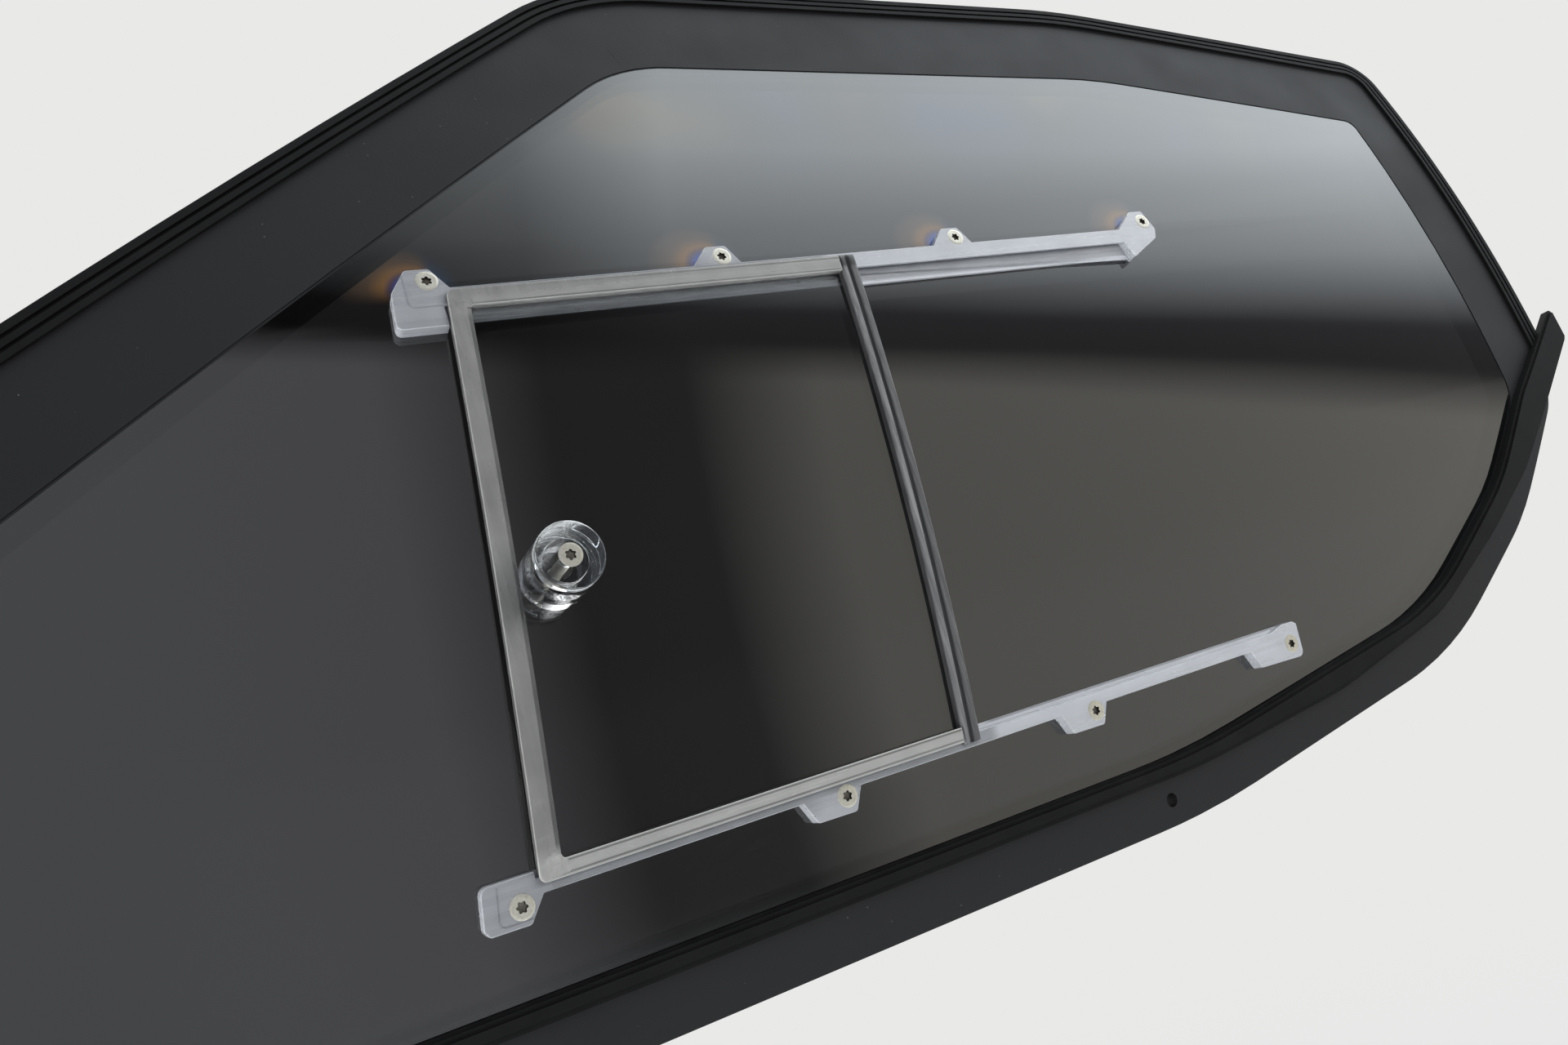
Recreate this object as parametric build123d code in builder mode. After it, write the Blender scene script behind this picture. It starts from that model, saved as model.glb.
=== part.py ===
from build123d import *
import os
from math import asin, cos, hypot, sin, sqrt

os.makedirs("parts", exist_ok=True)

# Side window of a closed race car with a sliding hatch.
# X runs rearwards along the rails, Y points into the car and Z points up.
# The origin is midway between the two middle bolts of the sill, on the frame's outer face.

# The bend: pane, frame and hatch are bent about one axis parallel to X.
BEND_RADIUS = 1129.0        # of the outer face of the fixed pane
BEND_RISE = 158.0           # from the sill bolts up to the line where the pane stands upright
HATCH_RISE = 158.0          # from the sill bolts up to the hatch's own line: arcs start there
AXIS_Y = sqrt(BEND_RADIUS**2 - BEND_RISE**2)
HATCH_TURN = asin((HATCH_RISE - BEND_RISE) / BEND_RADIUS)
REACH = 750.0               # half length of the bent blanks, past every outline
OVERRUN = 20.0              # cutting blocks run at least this far past what they cut

# The opening in the frame, as seen from outside
FRONT_X = -520.0            # front edge of the opening
POST_X = 535.0              # rear edge, along the rear post
SILL_Z = 18.0               # straight lower edge
FRONT_Z = 54.0              # where the pillar side begins
OPENING_TOP = 423.0         # top of the pillar side, the highest corner
ROOF_DROP = 11.0            # from there down to the bend in the roof side
CORNER_DROP = 53.0          # and down to the rear upper corner
PILLAR_X = 8.0
ROOF_X = 320.0
SWEEP_Z = 152.0             # where the sill's upsweep meets the rear post
SWEEP = ((180.0, SILL_Z), (380.0, 46.0), (478.0, 102.0))   # corners of the upsweep, x and z

# Widths of the frame's sides
SILL_BAND = 30.0
POST_BAND = 41.0
ROOF_BAND = 50.0
PILLAR_BAND = 43.0
FRONT_BAND = 30.0

# Thicknesses, along the pane's normal
PANE_THICK = 3.0
BOND_THICK = 0.6            # adhesive between pane and lip
FRAME_THICK = 12.0
LIP_WIDTH = 7.0             # of the frame's lip behind the pane
BOND_GAP = 1.2              # adhesive joint round the pane's edge
SEAL_WIDTH = 12.0           # rubber seal round the frame
SEAL_PROUD = 2.0
GROOVE_WIDTH = 1.6          # two grooves along that seal
GROOVE_DEPTH = 1.5
SEAL_DEEP = 8.0             # the seal reaches this far in beside the frame
BOND_SUNK = 0.4             # the adhesive joint stays below the outer face
BOND_SHY = 1.0              # and the bead stops short of the lip's edge
WAIST_PROUD = 6.0           # rubber strip along the sill
WAIST_CROWN = 1.5
WAIST_STEP = 2.0
WAIST_PAST_FRONT = 28.0     # the strip runs this far past the front edge of the opening
WAIST_PAST_POST = 76.0      # and past its rear edge, where it rises
WAIST_RISE = 54.0
FIT = 0.4                   # running clearance between hatch and rails
MARGIN = 0.03               # flat faces keep this off the bent pane

# Sliding hatch: a slanted oblong that leans back with height
LEAN = 0.103                # X per unit of height
HATCH_FRONT = -127.9        # front edge at the hatch's own line
STILE = 9.0                 # width of the front stile and of the rear stile
HATCH_LENGTH = 197.6        # from the front edge to the rear edge
BAR_TOP = 134.0             # upper edge of the hatch, along the bend
BAR_UPPER = 8.4             # height of its top bar
BAR_BOTTOM = -102.0         # lower edge of the hatch
BAR_LOWER = 6.4             # height of its bottom bar
SLIDER_THICK = 2.0
HATCH_FACE = 8.4            # outer face of the hatch frame above the pane
CORNER = 3.0
STEP_WIDTH = 1.8            # moulded step along the inner edge of the hatch frame
STEP_DEPTH = 0.7
SLIDER_INSET = 1.5
SLIDER_CORNER = 2.0
MARK_RADIUS = 2.6           # round mould mark in its lower front corner
MARK_DEPTH = 0.3
RIDGE_HEIGHT = 1.4
RIDGES = ((0.8, 3.6), (5.2, 8.4))
APERTURE_CORNER = 6.0
RAIL_MARGIN = 2.0           # the aperture stays this far from the rails
APERTURE_INSET = 1.5        # the opening in the pane stays inside the hatch frame

# Rails
RAIL_FACE = 6.0             # outer face of the rails above the pane
RAIL_BASE = 1.8             # thickness of the plate against the pane
LIP_THICK = 1.6             # outer lip of the channels
TAB_ROUND = 1.0
UPPER_LOW, UPPER_HIGH = 119.6, 135.6
UPPER_LIP, UPPER_WEB = 127.2, 132.6     # lower edges of lip and web
LOWER_LOW, LOWER_HIGH = -104.5, -96.3
LOWER_LIP, LOWER_WEB = -98.8, -102.2    # upper edges of lip and web
UPPER_FRONT, UPPER_REAR = -116.0, 265.0     # ends of the channel
LOWER_FRONT, LOWER_REAR = -139.2, 258.0

# Countersunk M5 screws with nuts on washers behind the pane
SCREW_HEAD = 9.3
SCREW_SHANK = 5.0
SCREW_HOLE = 5.5
SCREW_LENGTH = 16.0
SOCKET_RADIUS = 2.2
SOCKET_DEPTH = 1.6
UPPER_SCREW_ARC = 139.5
LOWER_SCREW_ARC = -106.8
UPPER_SCREWS = (-120.0, 14.9, 149.7, 282.4)
LOWER_SCREWS = (-146.0, -10.1, 125.8, 261.0)
WASHER_RADIUS = 7.0
WASHER_THICK = 1.2
NUT_ACROSS = 8.0
NUT_HEIGHT = 4.7

# Knob: a clear head on a clear spacer, both hollow, held by one long screw
KNOB_X, KNOB_ARC = -104.5, 6.4
KNOB_RADIUS = 13.4
KNOB_BORE = 8.6
SPACER_HEIGHT = 13.6
HEAD_LENGTH = 15.6
HOLLOW = 4.5                # depth of the bore inside the head
KNOB_ROUND = 1.0
BACKING_THICK = 1.5
BACKING_RADIUS = 7.0

# Bolts through the sill and threaded inserts behind the roof side and the post
BOLT_HOLE = 6.6
BOLT_XS = (-470.0, -320.0, -160.0, 160.0)
INSERT_BORE = 5.0
INSERT_DEPTH = 8.0
INSERTS = ((-250.0, 111.0), (150.0, 290.0), (555.5, 110.0))     # x and arc


def height(arc):
    """Z of a point that lies this far along the bend from the hatch's own line."""
    return BEND_RISE + BEND_RADIUS * sin(arc / BEND_RADIUS + HATCH_TURN)


def facing(x, arc, out=0.0):
    """Plane that touches the pane's outer face, raised by out, with its normal outwards."""
    turn = arc / BEND_RADIUS + HATCH_TURN
    reach = BEND_RADIUS + out
    return Plane(
        origin=(x, AXIS_Y - reach * cos(turn), BEND_RISE + reach * sin(turn)),
        x_dir=(1, 0, 0),
        z_dir=(0, -cos(turn), sin(turn)),
    )


def across(x, arc):
    """Plane square to the rails: its x runs up along the bend and its y outwards."""
    turn = arc / BEND_RADIUS + HATCH_TURN
    return Plane(
        origin=(x, AXIS_Y - BEND_RADIUS * cos(turn), BEND_RISE + BEND_RADIUS * sin(turn)),
        x_dir=(0, sin(turn), cos(turn)),
        z_dir=(1, 0, 0),
    )


def bent(low, high):
    """Bent blank between two heights above the pane's outer face."""
    with BuildPart() as blank:
        with BuildSketch(Plane.YZ.offset(-REACH)):
            with Locations((AXIS_Y, BEND_RISE)):
                Circle(BEND_RADIUS + high)
                Circle(BEND_RADIUS + low, mode=Mode.SUBTRACT)
        extrude(amount=2 * REACH)
    return blank.part


def widened(points, widths):
    """Corners of a polygon whose sides each move outwards by their own width."""
    sides = []
    for (x0, z0), (x1, z1), width in zip(points, points[1:] + points[:1], widths):
        run = hypot(x1 - x0, z1 - z0)
        nx, nz = (z1 - z0) / run, (x0 - x1) / run
        sides.append((nx, nz, nx * x0 + nz * z0 + width))
    corners = []
    for (a, b, c), (d, e, f) in zip(sides[-1:] + sides[:-1], sides):
        det = a * e - b * d
        corners.append(((c * e - b * f) / det, (a * f - c * d) / det))
    return corners


BEHIND = 80.0               # sketches lie on a plane this far inside the car
THROUGH = 140.0             # and reach from there past every outer face
INBOARD = Plane.XZ.offset(-BEHIND)

# Outline of the opening, anticlockwise from its front lower corner:
# x, z, corner radius, width of the frame along the side that starts there
OUTLINE = [
    (FRONT_X, SILL_Z, 10, SILL_BAND),
    (*SWEEP[0], 500, SILL_BAND),
    (*SWEEP[1], 200, SILL_BAND),
    (*SWEEP[2], 200, SILL_BAND),
    (POST_X, SWEEP_Z, 30, POST_BAND),
    (POST_X, OPENING_TOP - CORNER_DROP, 8, ROOF_BAND),
    (ROOF_X, OPENING_TOP - ROOF_DROP, 300, ROOF_BAND),
    (PILLAR_X, OPENING_TOP, 80, PILLAR_BAND),
    (FRONT_X, FRONT_Z, 12, FRONT_BAND),
]
corners = [(x, z) for x, z, radius, band in OUTLINE]
radii = [radius for x, z, radius, band in OUTLINE]
bands = [band for x, z, radius, band in OUTLINE]

frame_corners = widened(corners, bands)
frame_radii = [20, 500, 230, 230, 40, 14, 350, 120, 24]
seal_sides = [0, 0, 0, 0, SEAL_WIDTH, SEAL_WIDTH, SEAL_WIDTH, SEAL_WIDTH, SEAL_WIDTH]
seal_corners = widened(corners, [b + s for b, s in zip(bands, seal_sides)])
groove_lines = [
    (SEAL_WIDTH * 0.30 - GROOVE_WIDTH / 2, SEAL_WIDTH * 0.30 + GROOVE_WIDTH / 2),
    (SEAL_WIDTH * 0.65 - GROOVE_WIDTH / 2, SEAL_WIDTH * 0.65 + GROOVE_WIDTH / 2),
]

seal_radii = [r + SEAL_WIDTH for r in frame_radii]

# Rubber strip along the sill: its upper edge, and its lower edge as steps from corners of the upper one
STRIP_UPPER = [
    (FRONT_X - WAIST_PAST_FRONT, SILL_Z),
    *SWEEP,
    (POST_X, SWEEP_Z),
    (POST_X + WAIST_PAST_POST, SWEEP_Z + WAIST_RISE),
]
STRIP_STEPS = [(5, 0, -24), (4, -26, -47), (3, -23, -28), (2, 5, -6), (2, -90, -26), (1, 0, -8), (0, 0, -8)]
STRIP_LOWER = [(STRIP_UPPER[corner][0] + dx, STRIP_UPPER[corner][1] + dz) for corner, dx, dz in STRIP_STEPS]
STRIP_RADII = [1, 500, 200, 200, 60, 3, 3, 120, 120, 120, 200, 500, 1]

# Frame and seal come in lengths that meet at mitres in the corners of the opening
MITRE_INSIDE = 20.0         # the mitre cuts reach this far into the opening
MITRE_OUTSIDE = 40.0        # and this far past the frame
FRAME_SIDES = [
    ("sill", range(-1, 5)),
    ("post", range(4, 6)),
    ("roof", range(5, 8)),
    ("pillar", range(7, 9)),
]
SEAL_SIDES = [("post", range(4, 6)), ("roof", range(5, 8)), ("pillar", range(-2, 1))]
mitre_inner = widened(corners, [-MITRE_INSIDE] * 9)
mitre_outer = widened(corners, [band + MITRE_OUTSIDE for band in bands])


def length_along(ring, turns):
    """The length of a ring that runs along these corners of the opening."""
    with BuildPart() as blank:
        with BuildSketch(INBOARD):
            with BuildLine():
                outer = [mitre_outer[turn] for turn in turns]
                inner = [mitre_inner[turn] for turn in reversed(turns)]
                Polyline(*outer, *inner, close=True)
            make_face()
        extrude(amount=THROUGH)
        add(ring, mode=Mode.INTERSECT)
    return blank.part


# Window frame: a ring with a lip behind the pane
with BuildPart() as frame_ring:
    with BuildSketch(INBOARD):
        with BuildLine():
            FilletPolyline(*frame_corners, radius=frame_radii, close=True)
        make_face()
        with BuildLine():
            FilletPolyline(*corners, radius=radii, close=True)
        make_face(mode=Mode.SUBTRACT)
    extrude(amount=THROUGH)
    add(bent(-FRAME_THICK, 0), mode=Mode.INTERSECT)
    with BuildPart(mode=Mode.PRIVATE) as lip:
        with BuildSketch(INBOARD):
            with BuildLine():
                FilletPolyline(*corners, radius=radii, close=True)
            make_face()
            offset(amount=-LIP_WIDTH, mode=Mode.SUBTRACT)
        extrude(amount=THROUGH)
        add(bent(-FRAME_THICK, -PANE_THICK - BOND_THICK), mode=Mode.INTERSECT)
    add(lip.part)
    with BuildSketch(INBOARD):
        with Locations(*[(x, 0) for x in BOLT_XS]):
            Circle(BOLT_HOLE / 2)
    extrude(amount=THROUGH, mode=Mode.SUBTRACT)
    for x, arc in INSERTS:
        with BuildSketch(facing(x, arc, -FRAME_THICK - 1)):
            Circle(INSERT_BORE / 2)
        extrude(amount=INSERT_DEPTH + 1, mode=Mode.SUBTRACT)
for side, turns in FRAME_SIDES:
    member = length_along(frame_ring.part, turns)
    member.label = f"frame_{side}"
    export_step(member, f"parts/frame_{side}.step")

# Fixed pane, with the slanted aperture between the rails and the screw holes
SCREWS = [("upper_screw", "upper_nut", i + 1, x, UPPER_SCREW_ARC) for i, x in enumerate(UPPER_SCREWS)]
SCREWS += [("lower_screw", "lower_nut", i + 1, x, LOWER_SCREW_ARC) for i, x in enumerate(LOWER_SCREWS)]


def slanted(front, rear, low, high):
    """Corners of a piece of the hatch: X from its front edge, arcs along the bend."""
    return [
        (HATCH_FRONT + x + LEAN * arc, height(arc))
        for x, arc in ((front, low), (rear, low), (rear, high), (front, high))
    ]


with BuildPart() as main_pane:
    with BuildSketch(INBOARD):
        with BuildLine():
            FilletPolyline(*widened(corners, [-BOND_GAP] * 9), radius=radii, close=True)
        make_face()
        with BuildLine():
            aperture = slanted(
                STILE + APERTURE_INSET,
                HATCH_LENGTH - STILE - APERTURE_INSET,
                LOWER_HIGH + RAIL_MARGIN,
                UPPER_LOW - RAIL_MARGIN,
            )
            FilletPolyline(*aperture, radius=APERTURE_CORNER, close=True)
        make_face(mode=Mode.SUBTRACT)
    extrude(amount=THROUGH)
    add(bent(-PANE_THICK, 0), mode=Mode.INTERSECT)
    for name, nut, number, x, arc in SCREWS:
        with BuildSketch(facing(x, arc, 1)):
            Circle(SCREW_HOLE / 2)
        extrude(amount=-PANE_THICK - 2, mode=Mode.SUBTRACT)
main_pane.part.label = "main_pane"
export_step(main_pane.part, "parts/main_pane.step")

# Adhesive: a flat bead on the lip and the joint round the pane's edge
with BuildPart() as bond_bead:
    with BuildSketch(INBOARD):
        with BuildLine():
            FilletPolyline(*corners, radius=radii, close=True)
        make_face()
        with BuildLine():
            FilletPolyline(*widened(corners, [-BOND_GAP] * 9), radius=radii, close=True)
        make_face(mode=Mode.SUBTRACT)
    extrude(amount=THROUGH)
    add(bent(-PANE_THICK, -BOND_SUNK), mode=Mode.INTERSECT)
    with BuildPart(mode=Mode.PRIVATE) as flat_bead:
        with BuildSketch(INBOARD):
            with BuildLine():
                FilletPolyline(*corners, radius=radii, close=True)
            make_face()
            offset(amount=-LIP_WIDTH + BOND_SHY, mode=Mode.SUBTRACT)
        extrude(amount=THROUGH)
        add(bent(-PANE_THICK - BOND_THICK, -PANE_THICK), mode=Mode.INTERSECT)
    add(flat_bead.part)
bond_bead.part.label = "bond_bead"
export_step(bond_bead.part, "parts/bond_bead.step")

# Rubber seal round the pillar, roof and post sides, with two grooves along its face
with BuildPart() as seal_ring:
    with BuildSketch(INBOARD):
        with BuildLine():
            FilletPolyline(*seal_corners, radius=seal_radii, close=True)
        make_face()
        with BuildLine():
            FilletPolyline(*frame_corners, radius=frame_radii, close=True)
        make_face(mode=Mode.SUBTRACT)
        with BuildLine():
            Polyline(
                *STRIP_UPPER,
                (REACH, STRIP_UPPER[-1][1]),
                (REACH, -REACH),
                (-REACH, -REACH),
                (-REACH, SILL_Z),
                close=True,
            )
        make_face(mode=Mode.SUBTRACT)
    extrude(amount=THROUGH)
    add(bent(-SEAL_DEEP, SEAL_PROUD), mode=Mode.INTERSECT)
    for inner, outer in groove_lines:
        with BuildPart(mode=Mode.PRIVATE) as groove:
            with BuildSketch(INBOARD):
                for reach, cut in ((outer, Mode.ADD), (inner, Mode.SUBTRACT)):
                    line = widened(corners, [b + reach for b in bands])
                    with BuildLine():
                        FilletPolyline(*line, radius=[r + reach for r in frame_radii], close=True)
                    make_face(mode=cut)
            extrude(amount=THROUGH)
            add(bent(SEAL_PROUD - GROOVE_DEPTH, SEAL_PROUD + 1), mode=Mode.INTERSECT)
        add(groove.part, mode=Mode.SUBTRACT)
for side, turns in SEAL_SIDES:
    member = length_along(seal_ring.part, turns)
    member.label = f"seal_{side}"
    export_step(member, f"parts/seal_{side}.step")

# Rubber strip along the sill, with a raised crown
with BuildPart() as waist_seal:
    with BuildSketch(INBOARD):
        with BuildLine():
            FilletPolyline(*STRIP_UPPER, *STRIP_LOWER, radius=STRIP_RADII, close=True)
        make_face()
    extrude(amount=THROUGH)
    add(bent(0, WAIST_PROUD - WAIST_CROWN), mode=Mode.INTERSECT)
    with BuildPart(mode=Mode.PRIVATE) as crown:
        with BuildSketch(INBOARD):
            with BuildLine():
                FilletPolyline(*STRIP_UPPER, *STRIP_LOWER, radius=STRIP_RADII, close=True)
            make_face()
            offset(amount=-WAIST_STEP, mode=Mode.REPLACE)
        extrude(amount=THROUGH)
        add(bent(WAIST_PROUD - WAIST_CROWN, WAIST_PROUD), mode=Mode.INTERSECT)
    add(crown.part)
waist_seal.part.label = "waist_seal"
export_step(waist_seal.part, "parts/waist_seal.step")

# Upper rail: a channel that opens downwards, with tabs and closed ends
UPPER_MID = (UPPER_LOW + UPPER_HIGH) / 2
LOWER_MID = (LOWER_LOW + LOWER_HIGH) / 2
# Outlines of the tabs: X from their own screw, arc along the bend
UPPER_TABS = (
    (
        (4, 117.5), (4, 134), (9.5, 134), (2, 145.3),
        (-8, 145.3), (-15.4, 134.7), (-17, 120.5), (-14.5, 117.5),
    ),
    ((-17, 134), (9.5, 134), (3.5, 145.3), (-6.8, 145.3)),
    ((-17, 134), (9.5, 134), (3.5, 145.3), (-6.8, 145.3)),
    ((-22, 134), (-19, 117.5), (-17.5, 117.5), (3.9, 128.1), (6.9, 134.2), (3, 146.5), (-6.5, 146.5)),
)
LOWER_TABS = (
    (
        (6.8, -96.3), (-11, -96.3), (-12.9, -98), (-14.5, -110.9),
        (-12.9, -113.5), (2.1, -113.7), (9.3, -103.5),
    ),
    ((-20.5, -103.5), (-15.5, -113.6), (2.8, -113.9), (8, -103.5)),
    ((-20.5, -103.5), (-15.5, -113.6), (2.8, -113.9), (8, -103.5)),
    ((-30, -103.5), (-25, -113.6), (4.2, -114.5), (6.4, -112.6), (7.7, -97.9), (5.5, -96.3), (-3, -96.3)),
)


def rail(section, middle, start, end, tabs, screws, screw_arc):
    """Channel of this section between two ends, with its tabs and countersunk holes."""
    with BuildPart() as blank:
        with BuildSketch(across(start, middle)):
            with BuildLine():
                Polyline(*[(arc - middle, out) for arc, out in section], close=True)
            make_face()
        extrude(amount=end - start)
        for tab, x in zip(tabs, screws):
            with BuildSketch(facing(x, middle, MARGIN)):
                with BuildLine():
                    FilletPolyline(*[(dx, arc - middle) for dx, arc in tab], radius=TAB_ROUND, close=True)
                make_face()
            extrude(amount=RAIL_FACE - MARGIN)
        for x in screws:
            with Locations(facing(x, screw_arc, RAIL_FACE)):
                CounterSinkHole(SCREW_HOLE / 2, SCREW_HEAD / 2, depth=2 * RAIL_FACE)
    return blank.part


upper_rail = rail(
    (
        (UPPER_LOW, MARGIN),
        (UPPER_HIGH, MARGIN),
        (UPPER_HIGH, RAIL_FACE),
        (UPPER_LIP, RAIL_FACE),
        (UPPER_LIP, RAIL_FACE - LIP_THICK),
        (UPPER_WEB, RAIL_FACE - LIP_THICK),
        (UPPER_WEB, RAIL_BASE),
        (UPPER_LOW, RAIL_BASE),
    ),
    UPPER_MID, UPPER_FRONT, UPPER_REAR, UPPER_TABS, UPPER_SCREWS, UPPER_SCREW_ARC,
)
upper_rail.label = "upper_rail"
export_step(upper_rail, "parts/upper_rail.step")

lower_rail = rail(
    (
        (LOWER_LOW, MARGIN),
        (LOWER_HIGH, MARGIN),
        (LOWER_HIGH, RAIL_BASE),
        (LOWER_WEB, RAIL_BASE),
        (LOWER_WEB, RAIL_FACE - LIP_THICK),
        (LOWER_LIP, RAIL_FACE - LIP_THICK),
        (LOWER_LIP, RAIL_FACE),
        (LOWER_LOW, RAIL_FACE),
    ),
    LOWER_MID, LOWER_FRONT, LOWER_REAR, LOWER_TABS, LOWER_SCREWS, LOWER_SCREW_ARC,
)
lower_rail.label = "lower_rail"
export_step(lower_rail, "parts/lower_rail.step")


def screw(plane, length):
    """Countersunk screw with a six-lobed socket; its head's face lies on the plane."""
    cone = (SCREW_HEAD - SCREW_SHANK) / 2
    top = (Align.CENTER, Align.CENTER, Align.MAX)
    with BuildPart() as blank:
        with Locations(plane):
            Cone(SCREW_SHANK / 2, SCREW_HEAD / 2, cone, align=top)
        with Locations(plane.offset(-cone)):
            Cylinder(SCREW_SHANK / 2, length - cone, align=top)
        with BuildSketch(plane):
            Circle(SOCKET_RADIUS * 0.72)
            with PolarLocations(SOCKET_RADIUS * 0.72, 6):
                Circle(SOCKET_RADIUS * 0.28)
        extrude(amount=-SOCKET_DEPTH, mode=Mode.SUBTRACT)
    return blank.part


for name, nut_name, number, x, arc in SCREWS:
    part = screw(facing(x, arc, RAIL_FACE), SCREW_LENGTH)
    part.label = f"{name}_{number}"
    export_step(part, f"parts/{name}_{number}.step")
    with BuildPart() as nut:
        with BuildSketch(facing(x, arc, -PANE_THICK - MARGIN)):
            Circle(WASHER_RADIUS)
        extrude(amount=-WASHER_THICK)
        with BuildSketch(facing(x, arc, -PANE_THICK - MARGIN - WASHER_THICK)):
            RegularPolygon(NUT_ACROSS / 2, 6, major_radius=False)
        extrude(amount=-NUT_HEIGHT)
        with BuildSketch(facing(x, arc, 0)):
            Circle(SCREW_SHANK / 2)
        extrude(amount=-SCREW_LENGTH, mode=Mode.SUBTRACT)
    nut.part.label = f"{nut_name}_{number}"
    export_step(nut.part, f"parts/{nut_name}_{number}.step")

# Hatch: a bent slider pane whose upper and lower edges run in the channels
SLIDER_LOW = RAIL_BASE + (RAIL_FACE - LIP_THICK - RAIL_BASE - SLIDER_THICK) / 2
SLIDER_HIGH = SLIDER_LOW + SLIDER_THICK
with BuildPart() as slider_pane:
    with BuildSketch(INBOARD):
        with BuildLine():
            sheet = slanted(SLIDER_INSET, HATCH_LENGTH - SLIDER_INSET, LOWER_WEB + FIT, UPPER_WEB - FIT)
            FilletPolyline(*sheet, radius=SLIDER_CORNER, close=True)
        make_face()
    extrude(amount=THROUGH)
    add(bent(SLIDER_LOW, SLIDER_HIGH), mode=Mode.INTERSECT)
    with BuildSketch(facing(KNOB_X, KNOB_ARC, SLIDER_HIGH + 1)):
        Circle(SCREW_HOLE / 2)
    extrude(amount=-SLIDER_THICK - 2, mode=Mode.SUBTRACT)
slider_pane.part.label = "slider_pane"
export_step(slider_pane.part, "parts/slider_pane.step")

# Room behind the hatch frame in which the lips of both rails pass
with BuildPart() as lip_room:
    for middle, low, high in (
        (UPPER_MID, UPPER_LIP - FIT, UPPER_HIGH + OVERRUN),
        (LOWER_MID, LOWER_LOW - OVERRUN, LOWER_LIP + FIT),
    ):
        with BuildSketch(across(HATCH_FRONT - 2 * OVERRUN, middle)):
            with Locations(((low + high) / 2 - middle, 0)):
                Rectangle(high - low, 2 * (RAIL_FACE + FIT))
        extrude(amount=HATCH_LENGTH + 4 * OVERRUN)

# Hatch frame: front stile with its two bars, open towards the rear stile
with BuildPart() as slider_frame:
    with BuildSketch(INBOARD):
        with BuildLine():
            a, b, c, d = slanted(0, HATCH_LENGTH - STILE, BAR_BOTTOM, BAR_TOP)
            e, f, g, h = slanted(STILE, HATCH_LENGTH - STILE, BAR_BOTTOM + BAR_LOWER, BAR_TOP - BAR_UPPER)
            rounds = [CORNER, 0, 0, CORNER, CORNER, 0, 0, CORNER]
            FilletPolyline(a, b, f, e, h, g, c, d, radius=rounds, close=True)
        make_face()
    extrude(amount=THROUGH)
    add(bent(SLIDER_HIGH, HATCH_FACE), mode=Mode.INTERSECT)
    add(lip_room.part, mode=Mode.SUBTRACT)
    with BuildPart(mode=Mode.PRIVATE) as step:
        with BuildSketch(INBOARD):
            with BuildLine():
                Polyline(
                    *slanted(STILE - STEP_WIDTH, STILE + 1, BAR_BOTTOM + BAR_LOWER, BAR_TOP - BAR_UPPER),
                    close=True,
                )
            make_face()
        extrude(amount=THROUGH)
        add(bent(HATCH_FACE - STEP_DEPTH, HATCH_FACE + 1), mode=Mode.INTERSECT)
    add(step.part, mode=Mode.SUBTRACT)
    mark_arc = BAR_BOTTOM + BAR_LOWER + 1
    mark_x = HATCH_FRONT + STILE * 0.75 + LEAN * mark_arc
    with BuildSketch(facing(mark_x, mark_arc, HATCH_FACE - MARK_DEPTH)):
        Circle(MARK_RADIUS)
    extrude(amount=2, mode=Mode.SUBTRACT)
slider_frame.part.label = "slider_frame"
export_step(slider_frame.part, "parts/slider_frame.step")

# Rear stile: a dark profile with two ridges that hooks over the upper rail
with BuildPart() as rear_stile:
    with BuildSketch(INBOARD):
        with BuildLine():
            Polyline(
                *slanted(HATCH_LENGTH - STILE, HATCH_LENGTH, BAR_BOTTOM - 1, BAR_TOP + 0.8),
                close=True,
            )
        make_face()
    extrude(amount=THROUGH)
    add(bent(SLIDER_HIGH, HATCH_FACE - RIDGE_HEIGHT), mode=Mode.INTERSECT)
    with BuildPart(mode=Mode.PRIVATE) as ridges:
        with BuildSketch(INBOARD):
            for start, end in RIDGES:
                with BuildLine():
                    front = HATCH_LENGTH - STILE
                    Polyline(
                        *slanted(front + start, front + end, BAR_BOTTOM - 1, BAR_TOP + 0.8),
                        close=True,
                    )
                make_face()
        extrude(amount=THROUGH)
        add(bent(HATCH_FACE - RIDGE_HEIGHT, HATCH_FACE), mode=Mode.INTERSECT)
    add(ridges.part)
    add(lip_room.part, mode=Mode.SUBTRACT)
rear_stile.part.label = "rear_stile"
export_step(rear_stile.part, "parts/rear_stile.step")

# Knob
KNOB_FOOT = SLIDER_HIGH + MARGIN
KNOB_FACE = KNOB_FOOT + SPACER_HEIGHT + HEAD_LENGTH
with BuildPart() as knob_spacer:
    with BuildSketch(facing(KNOB_X, KNOB_ARC, KNOB_FOOT)):
        Circle(KNOB_RADIUS)
        Circle(KNOB_BORE, mode=Mode.SUBTRACT)
    extrude(amount=SPACER_HEIGHT)
knob_spacer.part.label = "knob_spacer"
export_step(knob_spacer.part, "parts/knob_spacer.step")

with BuildPart() as knob_head:
    with BuildSketch(facing(KNOB_X, KNOB_ARC, KNOB_FACE)):
        Circle(KNOB_RADIUS)
    extrude(amount=-HEAD_LENGTH)
    front = knob_head.faces().sort_by(Axis.Y)[0]
    fillet(front.edges(), KNOB_ROUND)
    with BuildSketch(facing(KNOB_X, KNOB_ARC, KNOB_FOOT + SPACER_HEIGHT - 1)):
        Circle(KNOB_BORE)
    extrude(amount=HOLLOW + 1, mode=Mode.SUBTRACT)
    with Locations(facing(KNOB_X, KNOB_ARC, KNOB_FACE)):
        CounterSinkHole(SCREW_HOLE / 2, SCREW_HEAD / 2, depth=2 * HEAD_LENGTH)
knob_head.part.label = "knob_head"
export_step(knob_head.part, "parts/knob_head.step")

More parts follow.
